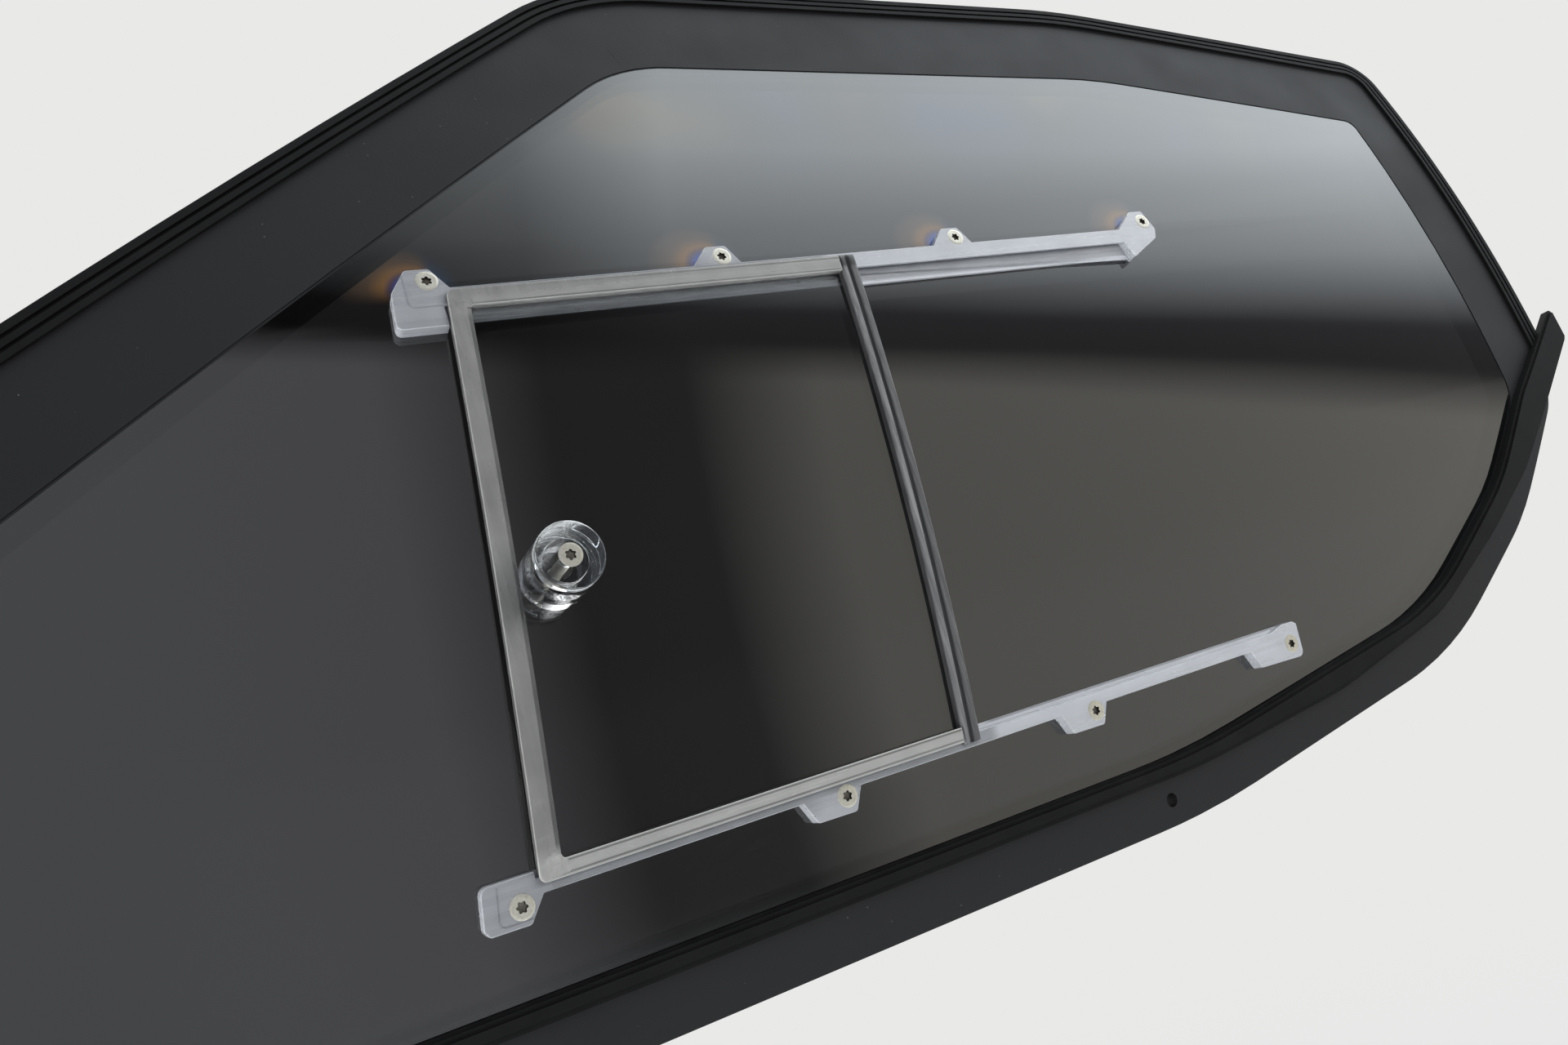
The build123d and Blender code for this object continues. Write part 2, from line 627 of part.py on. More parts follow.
knob_screw = screw(facing(KNOB_X, KNOB_ARC, KNOB_FACE), KNOB_FACE - SLIDER_LOW + MARGIN + BACKING_THICK)
knob_screw.label = "knob_screw"
export_step(knob_screw, "parts/knob_screw.step")

with BuildPart() as knob_backing:
    with BuildSketch(facing(KNOB_X, KNOB_ARC, SLIDER_LOW - MARGIN)):
        Circle(BACKING_RADIUS)
        Circle(SCREW_SHANK / 2, mode=Mode.SUBTRACT)
    extrude(amount=-BACKING_THICK)
knob_backing.part.label = "knob_backing"
export_step(knob_backing.part, "parts/knob_backing.step")
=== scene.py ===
"""Side window of a closed race car with a sliding hatch, dressed for rendering."""

from functools import partial
from math import atan2, cos, pi, radians, sin, sqrt

import bmesh
import bpy
from bpy.props import FloatProperty, FloatVectorProperty, PointerProperty
from mathutils import Matrix, Vector


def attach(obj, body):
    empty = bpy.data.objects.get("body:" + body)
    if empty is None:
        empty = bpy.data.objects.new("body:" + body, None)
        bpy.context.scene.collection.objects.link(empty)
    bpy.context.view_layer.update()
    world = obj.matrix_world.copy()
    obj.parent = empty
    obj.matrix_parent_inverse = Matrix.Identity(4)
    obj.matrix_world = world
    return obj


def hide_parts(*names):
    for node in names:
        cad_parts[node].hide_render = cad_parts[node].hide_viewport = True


bl_info = {
    "name": "Sliding Hatch Side Window",
    "version": (1, 0, 0),
    "blender": (4, 5, 0),
    "location": "View3D > Sidebar > Side Window",
    "description": "Dresses the side window of a race car with its frame, seals, rails and hatch",
    "category": "Object",
}

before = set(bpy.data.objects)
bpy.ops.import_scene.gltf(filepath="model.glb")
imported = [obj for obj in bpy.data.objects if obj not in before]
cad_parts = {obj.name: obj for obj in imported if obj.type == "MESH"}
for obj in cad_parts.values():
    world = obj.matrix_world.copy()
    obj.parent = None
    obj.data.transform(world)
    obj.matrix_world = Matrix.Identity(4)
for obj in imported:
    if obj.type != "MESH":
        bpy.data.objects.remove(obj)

# Metres, unless a comment says millimetres; x runs rearwards, an arc is a height along the bend,
# and out is a height above the pane's outer face.
# The bend that pane, frame and hatch share: one axis parallel to X
BEND_RADIUS = 1.129
BEND_RISE = 0.158
AXIS_Y = sqrt(BEND_RADIUS**2 - BEND_RISE**2)

# Screws along the two rails: X and arc
RAIL_FACE = 0.006
PANE_BACK = -0.00303
SCREW_PROUD, SCREW_LENGTH = 0.00012, 0.016
UPPER_SCREWS = [(-0.1200, 0.1395), (0.0149, 0.1395), (0.1497, 0.1395), (0.2824, 0.1395)]
LOWER_SCREWS = [(-0.1460, -0.1068), (-0.0101, -0.1068), (0.1258, -0.1068), (0.2610, -0.1068)]

# Knob on the hatch pane
KNOB_X, KNOB_ARC = -0.1045, 0.0064
KNOB_FOOT = 0.00413
# Its screw lies this much below its face, and goes on this far past its foot
KNOB_SINK, KNOB_GRIP = 0.00002, 0.0038
# Above this arc the hatch pane lies over the rail
OVER_RAIL = 0.1194


def linear(hex_colour, alpha=1.0):
    """sRGB hex value as a linear colour."""
    shades = []
    for shift in (16, 8, 0):
        value = (hex_colour >> shift & 255) / 255
        shades.append(value / 12.92 if value <= 0.04045 else ((value + 0.055) / 1.055) ** 2.4)
    return (*shades, alpha)


def toned(colour, share):
    """A colour made darker or lighter, at most white."""
    return (*[min(1.0, part * share) for part in colour[:3]], 1.0)


# --- settings


class FrameSettings(bpy.types.PropertyGroup):
    """Moulded frame and its rubber."""

    paint: FloatVectorProperty(
        name="Paint", description="Matt paint of the frame", subtype="COLOR", default=linear(0x121214)[:3]
    )
    rubber: FloatVectorProperty(
        name="Rubber", description="Rubber of the seals", subtype="COLOR", default=linear(0x0A0A0A)[:3]
    )


class PaneSettings(bpy.types.PropertyGroup):
    """Bent panes."""

    smoke: FloatVectorProperty(
        name="Smoke tint", description="Light that the fixed pane lets through", subtype="COLOR",
        default=linear(0x161617)[:3],
    )
    roughness: FloatProperty(name="Roughness", description="Roughness of the hard coat", default=0.015)


class RailSettings(bpy.types.PropertyGroup):
    """Rails and hatch frame."""

    tone: FloatVectorProperty(
        name="Plastic", description="Colour of the moulded plastic", subtype="COLOR", default=linear(0xE3E6EC)[:3]
    )
    hatch_tone: FloatVectorProperty(
        name="Hatch frame", description="Colour of the hatch frame's plastic", subtype="COLOR",
        default=linear(0xE6E6E3)[:3],
    )
    edge: FloatProperty(name="Edge radius", description="Rounding of the moulded edges", default=0.0004, unit="LENGTH")


class HardwareSettings(bpy.types.PropertyGroup):
    """Knob, screws and nuts."""

    screw_tone: FloatVectorProperty(
        name="Screws", description="Colour of the screw heads", subtype="COLOR", default=linear(0xF4F0E2)[:3]
    )
    knob_radius: FloatProperty(
        name="Knob radius", description="Outer radius of the knob", default=0.0134, unit="LENGTH"
    )
    knob_bore: FloatProperty(
        name="Knob bore", description="Radius of the hollow in the knob", default=0.0086, unit="LENGTH"
    )
    spacer_height: FloatProperty(
        name="Spacer height", description="Length of the knob's foot", default=0.0136, unit="LENGTH"
    )
    head_height: FloatProperty(
        name="Head height", description="Length of the knob's head", default=0.0156, unit="LENGTH"
    )


class StageSettings(bpy.types.PropertyGroup):
    """Floor, light and camera."""

    backdrop: FloatVectorProperty(
        name="Backdrop", description="Colour behind the window", subtype="COLOR", default=linear(0xE9E9E8)[:3]
    )
    focal_length: FloatProperty(
        name="Focal length", description="Lens on a 36 mm wide sensor, in millimetres", default=26.878
    )


# --- shared small tools


def add_node(tree, kind, inputs=None, stops=None, **settings):
    """Adds one shader node; an input that is a node or a socket is linked, any other is its value."""
    node = tree.nodes.new("ShaderNode" + kind)
    for name, value in settings.items():
        setattr(node, name, value)
    for name, value in (inputs or {}).items():
        if isinstance(value, bpy.types.Node):
            value = next(socket for socket in value.outputs if socket.enabled)
        if isinstance(value, bpy.types.NodeSocket):
            tree.links.new(value, node.inputs[name])
        else:
            node.inputs[name].default_value = value
    if stops:
        elements = node.color_ramp.elements
        while len(elements) < len(stops):
            elements.new(1.0)
        for element, (position, colour) in zip(elements, stops):
            element.position = position
            element.color = colour
    return node


def new_material(name):
    """Empty node material, what adds a node to it, and the place on the object."""
    material = bpy.data.materials.new(name)
    material.use_nodes = True
    material.node_tree.nodes.clear()
    add = partial(add_node, material.node_tree)
    return material, add, add("TexCoord").outputs["Object"]


def closed(material, shader):
    """Links the last shader of a material to its output."""
    add_node(material.node_tree, "OutputMaterial", {"Surface": shader})
    return material


def glazed(add, under, colour, share):
    """Adds a share of one colour to another."""
    part = add("VectorMath", {0: colour, "Scale": share}, operation="SCALE")
    return add("VectorMath", {0: under, 1: part}, operation="ADD")


def dress(material, *nodes):
    """Gives CAD nodes a material."""
    for node in nodes:
        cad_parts[node].data.materials[0] = material


def seat(x, arc, out):
    """Place on the bent pane: z points outwards, x rearwards."""
    turn = arc / BEND_RADIUS
    reach = BEND_RADIUS + out
    origin = Vector((x, AXIS_Y - reach * cos(turn), BEND_RISE + reach * sin(turn)))
    turned = Matrix(((1, 0, 0), (0, sin(turn), -cos(turn)), (0, cos(turn), sin(turn))))
    return Matrix.Translation(origin) @ turned.to_4x4()


def moved(bm, matrix):
    """The same bmesh at another place."""
    bmesh.ops.transform(bm, matrix=matrix, verts=bm.verts)
    return bm


def spun(profile, steps):
    """Closed bmesh turned from a profile of radius and height about local Z."""
    bm = bmesh.new()
    points = [bm.verts.new((radius, 0, height)) for radius, height in profile]
    lines = [bm.edges.new(pair) for pair in zip(points, points[1:])]
    bmesh.ops.spin(bm, geom=points + lines, cent=(0, 0, 0), axis=(0, 0, 1), angle=2 * pi, steps=steps, use_merge=True)
    bmesh.ops.remove_doubles(bm, verts=bm.verts, dist=1e-7)
    bmesh.ops.recalc_face_normals(bm, faces=bm.faces)
    return bm


def extruded(points, lift):
    """Closed block from one face to its copy; lift gives each copied point's new place."""
    bm = bmesh.new()
    base = bm.faces.new([bm.verts.new(point) for point in points])
    for item in bmesh.ops.extrude_face_region(bm, geom=[base])["geom"]:
        if isinstance(item, bmesh.types.BMVert):
            item.co = lift(item.co)
    bmesh.ops.recalc_face_normals(bm, faces=bm.faces)
    return bm


def bevelled(bm, edges, radius, segments, **settings):
    """Rounds edges of a closed shape."""
    bmesh.ops.bevel(
        bm, geom=edges, offset=radius, segments=segments, profile=0.5, affect="EDGES", material=-1, **settings
    )


def prism(outline, low, high, rounds=()):
    """Upright block on an outline; rounds gives pairs of radius and corner numbers."""
    bm = extruded([(x, y, low) for x, y in outline], lambda point: (point.x, point.y, high))
    for radius, corners in rounds:
        places = [Vector(outline[corner]) for corner in corners]
        upright = [
            edge for edge in bm.edges
            if abs(edge.verts[0].co.z - edge.verts[1].co.z) > 1e-6
            and any((edge.verts[0].co.xy - place).length < 1e-4 for place in places)
        ]
        bevelled(bm, upright, radius, 6, clamp_overlap=False)
    bmesh.ops.recalc_face_normals(bm, faces=bm.faces)
    return bm


def mesh_of(name, bm):
    """Mesh made from a bmesh, which is used up."""
    mesh = bpy.data.meshes.new(name)
    bm.to_mesh(mesh)
    bm.free()
    return mesh


def placed(name, data):
    """New object in the scene."""
    item = bpy.data.objects.new(name, data)
    bpy.context.scene.collection.objects.link(item)
    return item


def joined(parts):
    """One bmesh out of several closed ones."""
    whole = bmesh.new()
    for part in parts:
        mesh = mesh_of("part", part)
        whole.from_mesh(mesh)
        bpy.data.meshes.remove(mesh)
    return whole


def carved(bm, *cutters):
    """Cuts closed shapes out of a closed shape."""
    body = placed("body", mesh_of("body", bm))
    cutter = placed("cutter", mesh_of("cutter", joined(cutters)))
    cut = body.modifiers.new("cut", "BOOLEAN")
    cut.object, cut.operation, cut.solver = cutter, "DIFFERENCE", "EXACT"
    seen = body.evaluated_get(bpy.context.evaluated_depsgraph_get())
    result = bpy.data.meshes.new_from_object(seen)
    left = bmesh.new()
    left.from_mesh(result)
    for mesh in (result, body.data, cutter.data):
        bpy.data.meshes.remove(mesh)
    bmesh.ops.remove_doubles(left, verts=left.verts, dist=1e-4)
    return left


def soften(bm, radius):
    """Rounds the sharp edges of a closed shape."""
    bmesh.ops.dissolve_limit(bm, angle_limit=radians(0.5), verts=bm.verts, edges=bm.edges)
    sharp = [edge for edge in bm.edges if len(edge.link_faces) == 2 and edge.calc_face_angle() > radians(30)]
    bevelled(bm, sharp, radius, 3, clamp_overlap=False, loop_slide=False)


def cut_across(bm, levels, along=Vector((0, 1, 0))):
    """Cuts a shape into bands at heights along the bend, or at places along another axis."""
    bmesh.ops.triangulate(bm, faces=[face for face in bm.faces if len(face.verts) > 4])
    for level in levels:
        geometry = [*bm.verts, *bm.edges, *bm.faces]
        bmesh.ops.bisect_plane(bm, geom=geometry, dist=1e-4, plane_co=along * level, plane_no=along)


def pressed(bm):
    """Bends a shape given as x, height and out, in mm, over the pane."""
    for vert in bm.verts:
        rise = BEND_RADIUS * sin(vert.co.y / 1000 / BEND_RADIUS)
        reach = BEND_RADIUS + vert.co.z / 1000
        vert.co = (vert.co.x / 1000, AXIS_Y - sqrt(reach**2 - rise**2), BEND_RISE + rise)
    bmesh.ops.recalc_face_normals(bm, faces=bm.faces)
    return bm


def finish_piece(bm, name, body, material, replaced, sharp=35, even=False):
    """Turns a bmesh into a piece that rides on a body; even keeps flat faces flat beside rounded edges."""
    mesh = mesh_of(name, bm)
    mesh.materials.append(material)
    mesh.polygons.foreach_set("use_smooth", [True] * len(mesh.polygons))
    mesh.set_sharp_from_angle(angle=radians(sharp))
    piece = placed(name, mesh)
    if even:
        piece.modifiers.new("even normals", "WEIGHTED_NORMAL").keep_sharp = True
    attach(piece, body)
    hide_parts(replaced)


# --- materials


SMOOTH = {"interpolation_type": "SMOOTHSTEP"}


def painted_composite(settings):
    """Matt black paint on a moulded composite."""
    # sprayed paint: a fine orange peel spreads its shine, and a little dust lies on it
    material, add, place = new_material("matt_painted_composite")
    cloud = add("TexNoise", {"Vector": place, "Scale": 18.0, "Detail": 4.0})
    tone = add("ValToRGB", {"Fac": cloud}, [(0.3, toned(settings.paint, 0.88)), (0.7, toned(settings.paint, 1.12))])
    # dust specks of about 0.4 mm
    grit = add("TexVoronoi", {"Vector": place, "Scale": 140.0})
    speck = add("MapRange", {"Value": grit, "From Min": 0.045, "From Max": 0.03, "To Max": 0.35})
    dusty = add("Mix", {"Factor": speck, 6: tone, 7: linear(0x8C8C88)}, data_type="RGBA")
    gloss = add("MapRange", {"Value": cloud, "From Min": 0.3, "From Max": 0.7, "To Min": 0.54, "To Max": 0.64})
    # orange peel of about 1 mm
    peel = add("TexNoise", {"Vector": place, "Scale": 1000.0, "Detail": 1.0})
    bump = add("Bump", {"Height": peel, "Strength": 0.12, "Distance": 0.0003})
    return closed(material, add("BsdfPrincipled", {
        "Base Color": dusty, "Roughness": gloss, "IOR": 1.5, "Normal": bump,
    }))


def seal_rubber(settings):
    """Extruded EPDM rubber."""
    # deep black and dull, with a faint bloom and a grain of about 0.6 mm
    material, add, place = new_material("extruded_epdm_rubber")
    bloom = add("TexNoise", {"Vector": place, "Scale": 60.0, "Detail": 5.0})
    tone = add("ValToRGB", {"Fac": bloom}, [(0.35, toned(settings.rubber, 0.8)), (0.75, toned(settings.rubber, 1.5))])
    grain = add("TexNoise", {"Vector": place, "Scale": 1600.0, "Detail": 2.0})
    bump = add("Bump", {"Height": grain, "Strength": 0.2, "Distance": 0.0002})
    return closed(material, add("BsdfPrincipled", {
        "Base Color": tone, "Roughness": 0.66, "IOR": 1.5, "Specular IOR Level": 0.25, "Normal": bump,
    }))


def bonding_adhesive():
    """Cured polyurethane adhesive."""
    # pressed out of a joint: black, with a soft uneven skin
    material, add, place = new_material("polyurethane_adhesive")
    wave = add("TexNoise", {"Vector": place, "Scale": 90.0, "Detail": 2.0})
    tone = add("ValToRGB", {"Fac": wave}, [(0.3, linear(0x0C0C0D)), (0.7, linear(0x151516))])
    bump = add("Bump", {"Height": wave, "Strength": 0.5, "Distance": 0.0005})
    return closed(material, add("BsdfPrincipled", {"Base Color": tone, "Roughness": 0.4, "IOR": 1.5, "Normal": bump}))


def stress_fringes(add, place, tone, point):
    """Adds the colours that show above a screw: blue, then orange, then brown with distance."""
    offset = add("VectorMath", {0: place, 1: point}, operation="SUBTRACT")
    x, _, z = add("SeparateXYZ", {"Vector": offset}).outputs
    reach = add("VectorMath", {0: offset}, operation="LENGTH")
    drift = add("Math", {0: x, 1: 0.4}, operation="MULTIPLY")
    leaning = add("Math", {0: reach, 1: drift}, operation="ADD")
    ring = add("MapRange", {"Value": leaning, "From Min": 0.005, "From Max": 0.021})
    fringe = add("ValToRGB", {"Fac": ring}, [
        (0.0, linear(0x3F81CB)), (0.12, linear(0x3059CB)), (0.22, linear(0x69506F, 0.8)),
        (0.32, linear(0xAD7C3F, 0.5)), (0.55, linear(0x695038, 0.2)), (1.0, linear(0x000000, 0.0)),
    ])
    # its rear side is plain blue, as strong as the fringe's alpha
    blue = add("VectorMath", {0: linear(0x3873B3)[:3], "Scale": fringe.outputs["Alpha"]}, operation="SCALE")
    side = add("MapRange", {"Value": x, "From Max": 0.006}, **SMOOTH)
    colour = add("Mix", {"Factor": side, 6: fringe, 7: blue}, data_type="RGBA")
    above = add("MapRange", {"Value": z, "From Min": -0.006, "From Max": 0.005, "To Max": 0.42}, **SMOOTH)
    return glazed(add, tone, colour, above)


def smoked_polycarbonate(settings, name, strength, clear_above=None, stressed=()):
    """Hard-coated polycarbonate sheet, smoke tinted and bent."""
    # a hard coat mirrors sharply over a dark body, with specks of dust and the colours of stress at the screws
    material, add, place = new_material(name)
    haze = add("TexNoise", {"Vector": place, "Scale": 6.0, "Detail": 3.0})
    tone = add(
        "ValToRGB", {"Fac": haze},
        [(0.3, toned(settings.smoke, 0.85 * strength)), (0.7, toned(settings.smoke, 1.15 * strength))],
    )
    z = add("SeparateXYZ", {"Vector": place}).outputs["Z"]
    for x, arc in stressed:
        tone = stress_fringes(add, place, tone, seat(x, arc, 0).translation)
    if stressed:
        # faint patches of the same colours along the upper edge, some 100 mm long
        high = add("MapRange", {"Value": z, "From Min": 0.32, "From Max": 0.41, "To Max": 0.07}, **SMOOTH)
        patch = add("TexNoise", {"Vector": place, "Scale": 9.0, "Detail": 1.0})
        stops = [(0.36, 0x456FC4), (0.46, 0x3F4B59), (0.54, 0x615030), (0.64, 0xC4A23F)]
        hues = add("ValToRGB", {"Fac": patch}, [(spot, linear(colour)) for spot, colour in stops])
        tone = glazed(add, tone, hues, high)
    # dust specks of about 0.4 mm, some 20 mm apart
    cells = add("TexVoronoi", {"Vector": place, "Scale": 48.0})
    speck = add("MapRange", {"Value": cells, "From Min": 0.012, "From Max": 0.006, "To Max": 0.22})
    tone = glazed(add, tone, cells.outputs["Color"], speck)
    if clear_above:
        # the margin that lies over the rail is untinted, so the rail shows through it
        blur = 0.0002
        margin = add("MapRange", {"Value": z, "From Min": clear_above - blur, "From Max": clear_above + blur})
        tone = add("Mix", {"Factor": margin, 6: tone, 7: linear(0xEFF1F2)}, data_type="RGBA")
    return closed(material, add("BsdfPrincipled", {
        "Base Color": tone, "Roughness": settings.roughness, "IOR": 1.585, "Transmission Weight": 1.0,
        "Coat Weight": 1.0, "Coat Roughness": 0.01, "Coat IOR": 1.7,
    }))


def frosted_polycarbonate(name, full):
    """Injection-moulded clear polycarbonate with a spark-eroded surface."""
    # the fine texture makes it satin, and milky where it is thick; its depth attribute carries painted light and shade
    # as well as milkiness
    material, add, place = new_material(name)
    depth = add("Attribute", attribute_name="depth").outputs["Fac"]
    upright = add("Attribute", attribute_name="upright").outputs["Fac"]
    # flow lines of the moulding, 3 to 4 mm apart and some 80 mm long, along each bar
    lines = []
    for scale in ((12.0, 300.0, 300.0), (300.0, 300.0, 12.0)):
        drawn = add("Mapping", {"Vector": place, "Scale": scale})
        lines.append(add("TexNoise", {"Vector": drawn, "Scale": 1.0, "Detail": 1.0}))
    flow = add("Mix", {"Factor": upright, 2: lines[0], 3: lines[1]}, data_type="FLOAT")
    # and clouds of about 15 mm
    cloud = add("TexNoise", {"Vector": place, "Scale": 70.0, "Detail": 2.0})
    mottle = add("Math", {0: flow, 1: cloud}, operation="ADD")
    tone = add("MapRange", {"Value": mottle, "From Min": 0.7, "From Max": 1.3, "To Min": -0.07, "To Max": 0.07})
    # depth holds milkiness with painted light and shade; clouds and flow lines vary it at random
    milk_and_light = add("Math", {0: depth, 1: tone}, operation="ADD")
    scaled = add("MapRange", {"Value": milk_and_light, "From Min": -0.12, "From Max": 1.12})
    colour = add("ValToRGB", {"Fac": scaled}, [(0.0, toned(full, 0.1)), (1.0, toned(full, 1.0))])
    rough = add("MapRange", {"Value": flow, "From Min": 0.3, "From Max": 0.7, "To Min": 0.24, "To Max": 0.3})
    # spark-eroded grain of about 0.4 mm, coarser than the real one so that it shows
    grain = add("TexNoise", {"Vector": place, "Scale": 2500.0, "Detail": 1.0})
    bump = add("Bump", {"Height": grain, "Strength": 0.12, "Distance": 0.0001})
    return closed(material, add("BsdfPrincipled", {
        "Base Color": colour, "Roughness": rough, "IOR": 1.585, "Transmission Weight": 0.45, "Normal": bump,
    }))


def stile_plastic():
    """Smoke-grey extruded plastic of the rear stile."""
    # satin and a little see-through, with fine lines drawn along it by the die, about 1 mm apart
    material, add, place = new_material("smoke_grey_profile")
    streak = add("Mapping", {"Vector": place, "Scale": (900.0, 900.0, 12.0)})
    lines = add("TexNoise", {"Vector": streak, "Scale": 1.0, "Detail": 3.0})
    tone = add("ValToRGB", {"Fac": lines}, [(0.3, linear(0x4A4A4C)), (0.7, linear(0x6A6A6B))])
    # painted light: highlights painted on the ridges, painted shade in the groove and on the hook over the rail
    glow = add("Attribute", attribute_name="glow").outputs["Fac"]
    lit = add("VectorMath", {0: tone, "Scale": glow}, operation="SCALE")
    bump = add("Bump", {"Height": lines, "Strength": 0.15, "Distance": 0.0002})
    return closed(material, add("BsdfPrincipled", {
        "Base Color": lit, "Roughness": 0.35, "IOR": 1.5, "Transmission Weight": 0.25, "Normal": bump,
    }))


def cast_acrylic():
    """Turned and polished cast acrylic."""
    # water clear, with a breath of haze in patches of some 3 mm
    material, add, place = new_material("polished_cast_acrylic")
    haze = add("TexNoise", {"Vector": place, "Scale": 300.0, "Detail": 2.0})
    rough = add("MapRange", {"Value": haze, "From Min": 0.4, "From Max": 0.7, "To Max": 0.004})
    return closed(material, add("BsdfPrincipled", {
        "Base Color": linear(0xF7F9FA), "Roughness": rough, "IOR": 1.49, "Transmission Weight": 1.0,
    }))


def titanium(settings):
    """Turned titanium of the screws."""
    # a pale gold cast with a satin grain of about 1 mm; dark brown painted shade fills its sockets
    material, add, place = new_material("turned_titanium")
    grain = add("TexNoise", {"Vector": place, "Scale": 900.0, "Detail": 3.0})
    tone = add(
        "ValToRGB", {"Fac": grain},
        [(0.3, toned(settings.screw_tone, 0.88)), (0.7, toned(settings.screw_tone, 1.08))],
    )
    # painted shade in the sockets: dark brown, and a little rougher
    socket_shade = add("Attribute", attribute_name="socket_shade").outputs["Fac"]
    shaded = add("Mix", {"Factor": socket_shade, 6: tone, 7: linear(0x3A2E24)}, data_type="RGBA")
    rough = add("MapRange", {"Value": socket_shade, "To Min": 0.42, "To Max": 0.5})
    bump = add("Bump", {"Height": grain, "Strength": 0.12, "Distance": 0.0001})
    return closed(material, add("BsdfPrincipled", {
        "Base Color": shaded, "Metallic": 1.0, "Roughness": rough, "Normal": bump,
    }))


def zinc_plate():
    """Zinc-plated steel of nuts, washers and the knob's backing disc."""
    # bright and slightly uneven, in crystals of about 1.4 mm
    material, add, place = new_material("zinc_plated_steel")
    spangle = add("TexVoronoi", {"Vector": place, "Scale": 700.0})
    tone = add("ValToRGB", {"Fac": spangle}, [(0.1, linear(0xA9ACB0)), (0.8, linear(0xC6C8CA))])
    return closed(material, add("BsdfPrincipled", {"Base Color": tone, "Metallic": 1.0, "Roughness": 0.34}))


# --- shapes


RAIL_TOP, RAIL_BACK = 6.0, 0.03
# Each rail in mm, seen from outside: outline, pocket and panel as x and arc. The slot of its channel is a section
# as arc and out, between two ends that give x for an arc. The pocket is in the back of the front tab, and the panel
# is how it shows through the face. The strip is a band of arcs on the plate behind the channel.
RAILS = {
    "upper_rail": {
        "outline": [
            (-137.1, 117.5), (-116.0, 117.5), (-116.0, 119.6), (263.0, 119.6), (263.4, 117.5), (264.9, 117.5),
            (286.3, 128.1), (289.3, 134.2), (285.4, 146.5), (275.9, 146.5), (262.4, 135.6),
            (158.4, 135.6), (153.2, 145.3), (142.9, 145.3), (134.1, 135.6),
            (23.6, 135.6), (18.4, 145.3), (8.1, 145.3), (-0.7, 135.6),
            (-111.6, 135.6), (-118.0, 145.3), (-128.0, 145.3), (-135.4, 134.7),
        ],
        "rounds": ((3.0, (0,)), (1.0, (6, 7, 8, 9, 12, 13, 16, 17, 20, 21, 22))),
        "slot": [(112.0, 1.8), (132.6, 1.8), (132.6, 4.4), (127.2, 4.4), (127.2, 8.0), (112.0, 8.0)],
        "ends": (lambda arc: -116.0, lambda arc: 263.4 - 0.182 * (arc - 117.5)),
        "middle": 127.6,
        "screws": UPPER_SCREWS,
        "pocket": [(-129.8, 143.0), (-130.2, 126.8), (-117.6, 126.8), (-117.6, 136.0), (-121.0, 143.0)],
        "panel": [(-129.8, 143.6), (-130.2, 126.8), (-110.0, 126.8), (-110.0, 143.6)],
        "strip": (120.3, 121.9),
    },
    "lower_rail": {
        "outline": [
            (-158.9, -98.0), (-160.5, -110.9), (-158.9, -113.5), (-143.9, -113.7), (-137.4, -104.5),
            (-30.1, -104.5), (-25.6, -113.6), (-7.3, -113.9), (-2.6, -104.5),
            (105.8, -104.5), (110.3, -113.6), (128.6, -113.9), (133.3, -104.5),
            (231.5, -104.5), (236.0, -113.6), (265.2, -114.5), (267.4, -112.6), (268.7, -97.9), (266.5, -96.3),
            (-157.0, -96.3),
        ],
        "rounds": ((1.0, (0, 1, 2, 3, 6, 7, 10, 11, 14, 15, 16, 17, 18, 19)),),
        "slot": [(-90.0, 1.8), (-102.2, 1.8), (-102.2, 4.4), (-98.8, 4.4), (-98.8, 8.0), (-90.0, 8.0)],
        "ends": (lambda arc: -139.2, lambda arc: 258.0 + 3.75 * (arc + 96.3)),
        "middle": -100.4,
        "screws": LOWER_SCREWS,
        "pocket": [(-153.6, -98.4), (-155.2, -111.2), (-144.5, -111.4), (-141.0, -106.0), (-141.0, -98.4)],
        "panel": [(-153.4, -97.6), (-155.4, -112.0), (-134.0, -112.0), (-134.0, -97.6)],
        "strip": (-97.4, -97.1),
    },
}
# The plate's face lies between these heights, a lip between these arcs, and the hatch covers the rails up to an x
PLATE_OUT, LIP_ARCS, RAIL_SPLIT = (1.2, 1.85), (-104.3, 135.4), 68
# How bright each part of a rail is, as its depth attribute: 0 is clear, 1 is milky. Besides milkiness it holds painted
# light: painted highlights on the side walls, painted light on the plate behind the hatch, and painted shade on the
# front parts, darkest on the lip under the hatch
RAIL_MILK_AND_LIGHT = {
    "front plate": 0.9, "rear plate": 0.4, "side": 1.0, "pocket wall": 0.2, "pocket floor": 0.44,
    "front tab": 0.46, "front lip": 0.3, "front tabs": 0.58, "rear": 0.74,
}


def sink_cutter(x, arc):
    """Countersunk hole for an M5 screw."""
    bore, sink, foot = 2.75, 4.68, 4.1
    profile = [(0, -1), (bore, -1), (bore, foot), (sink, foot + sink - bore), (sink, 8), (0, 8)]
    return moved(spun(profile, 48), Matrix.Translation((x, arc, 0)))


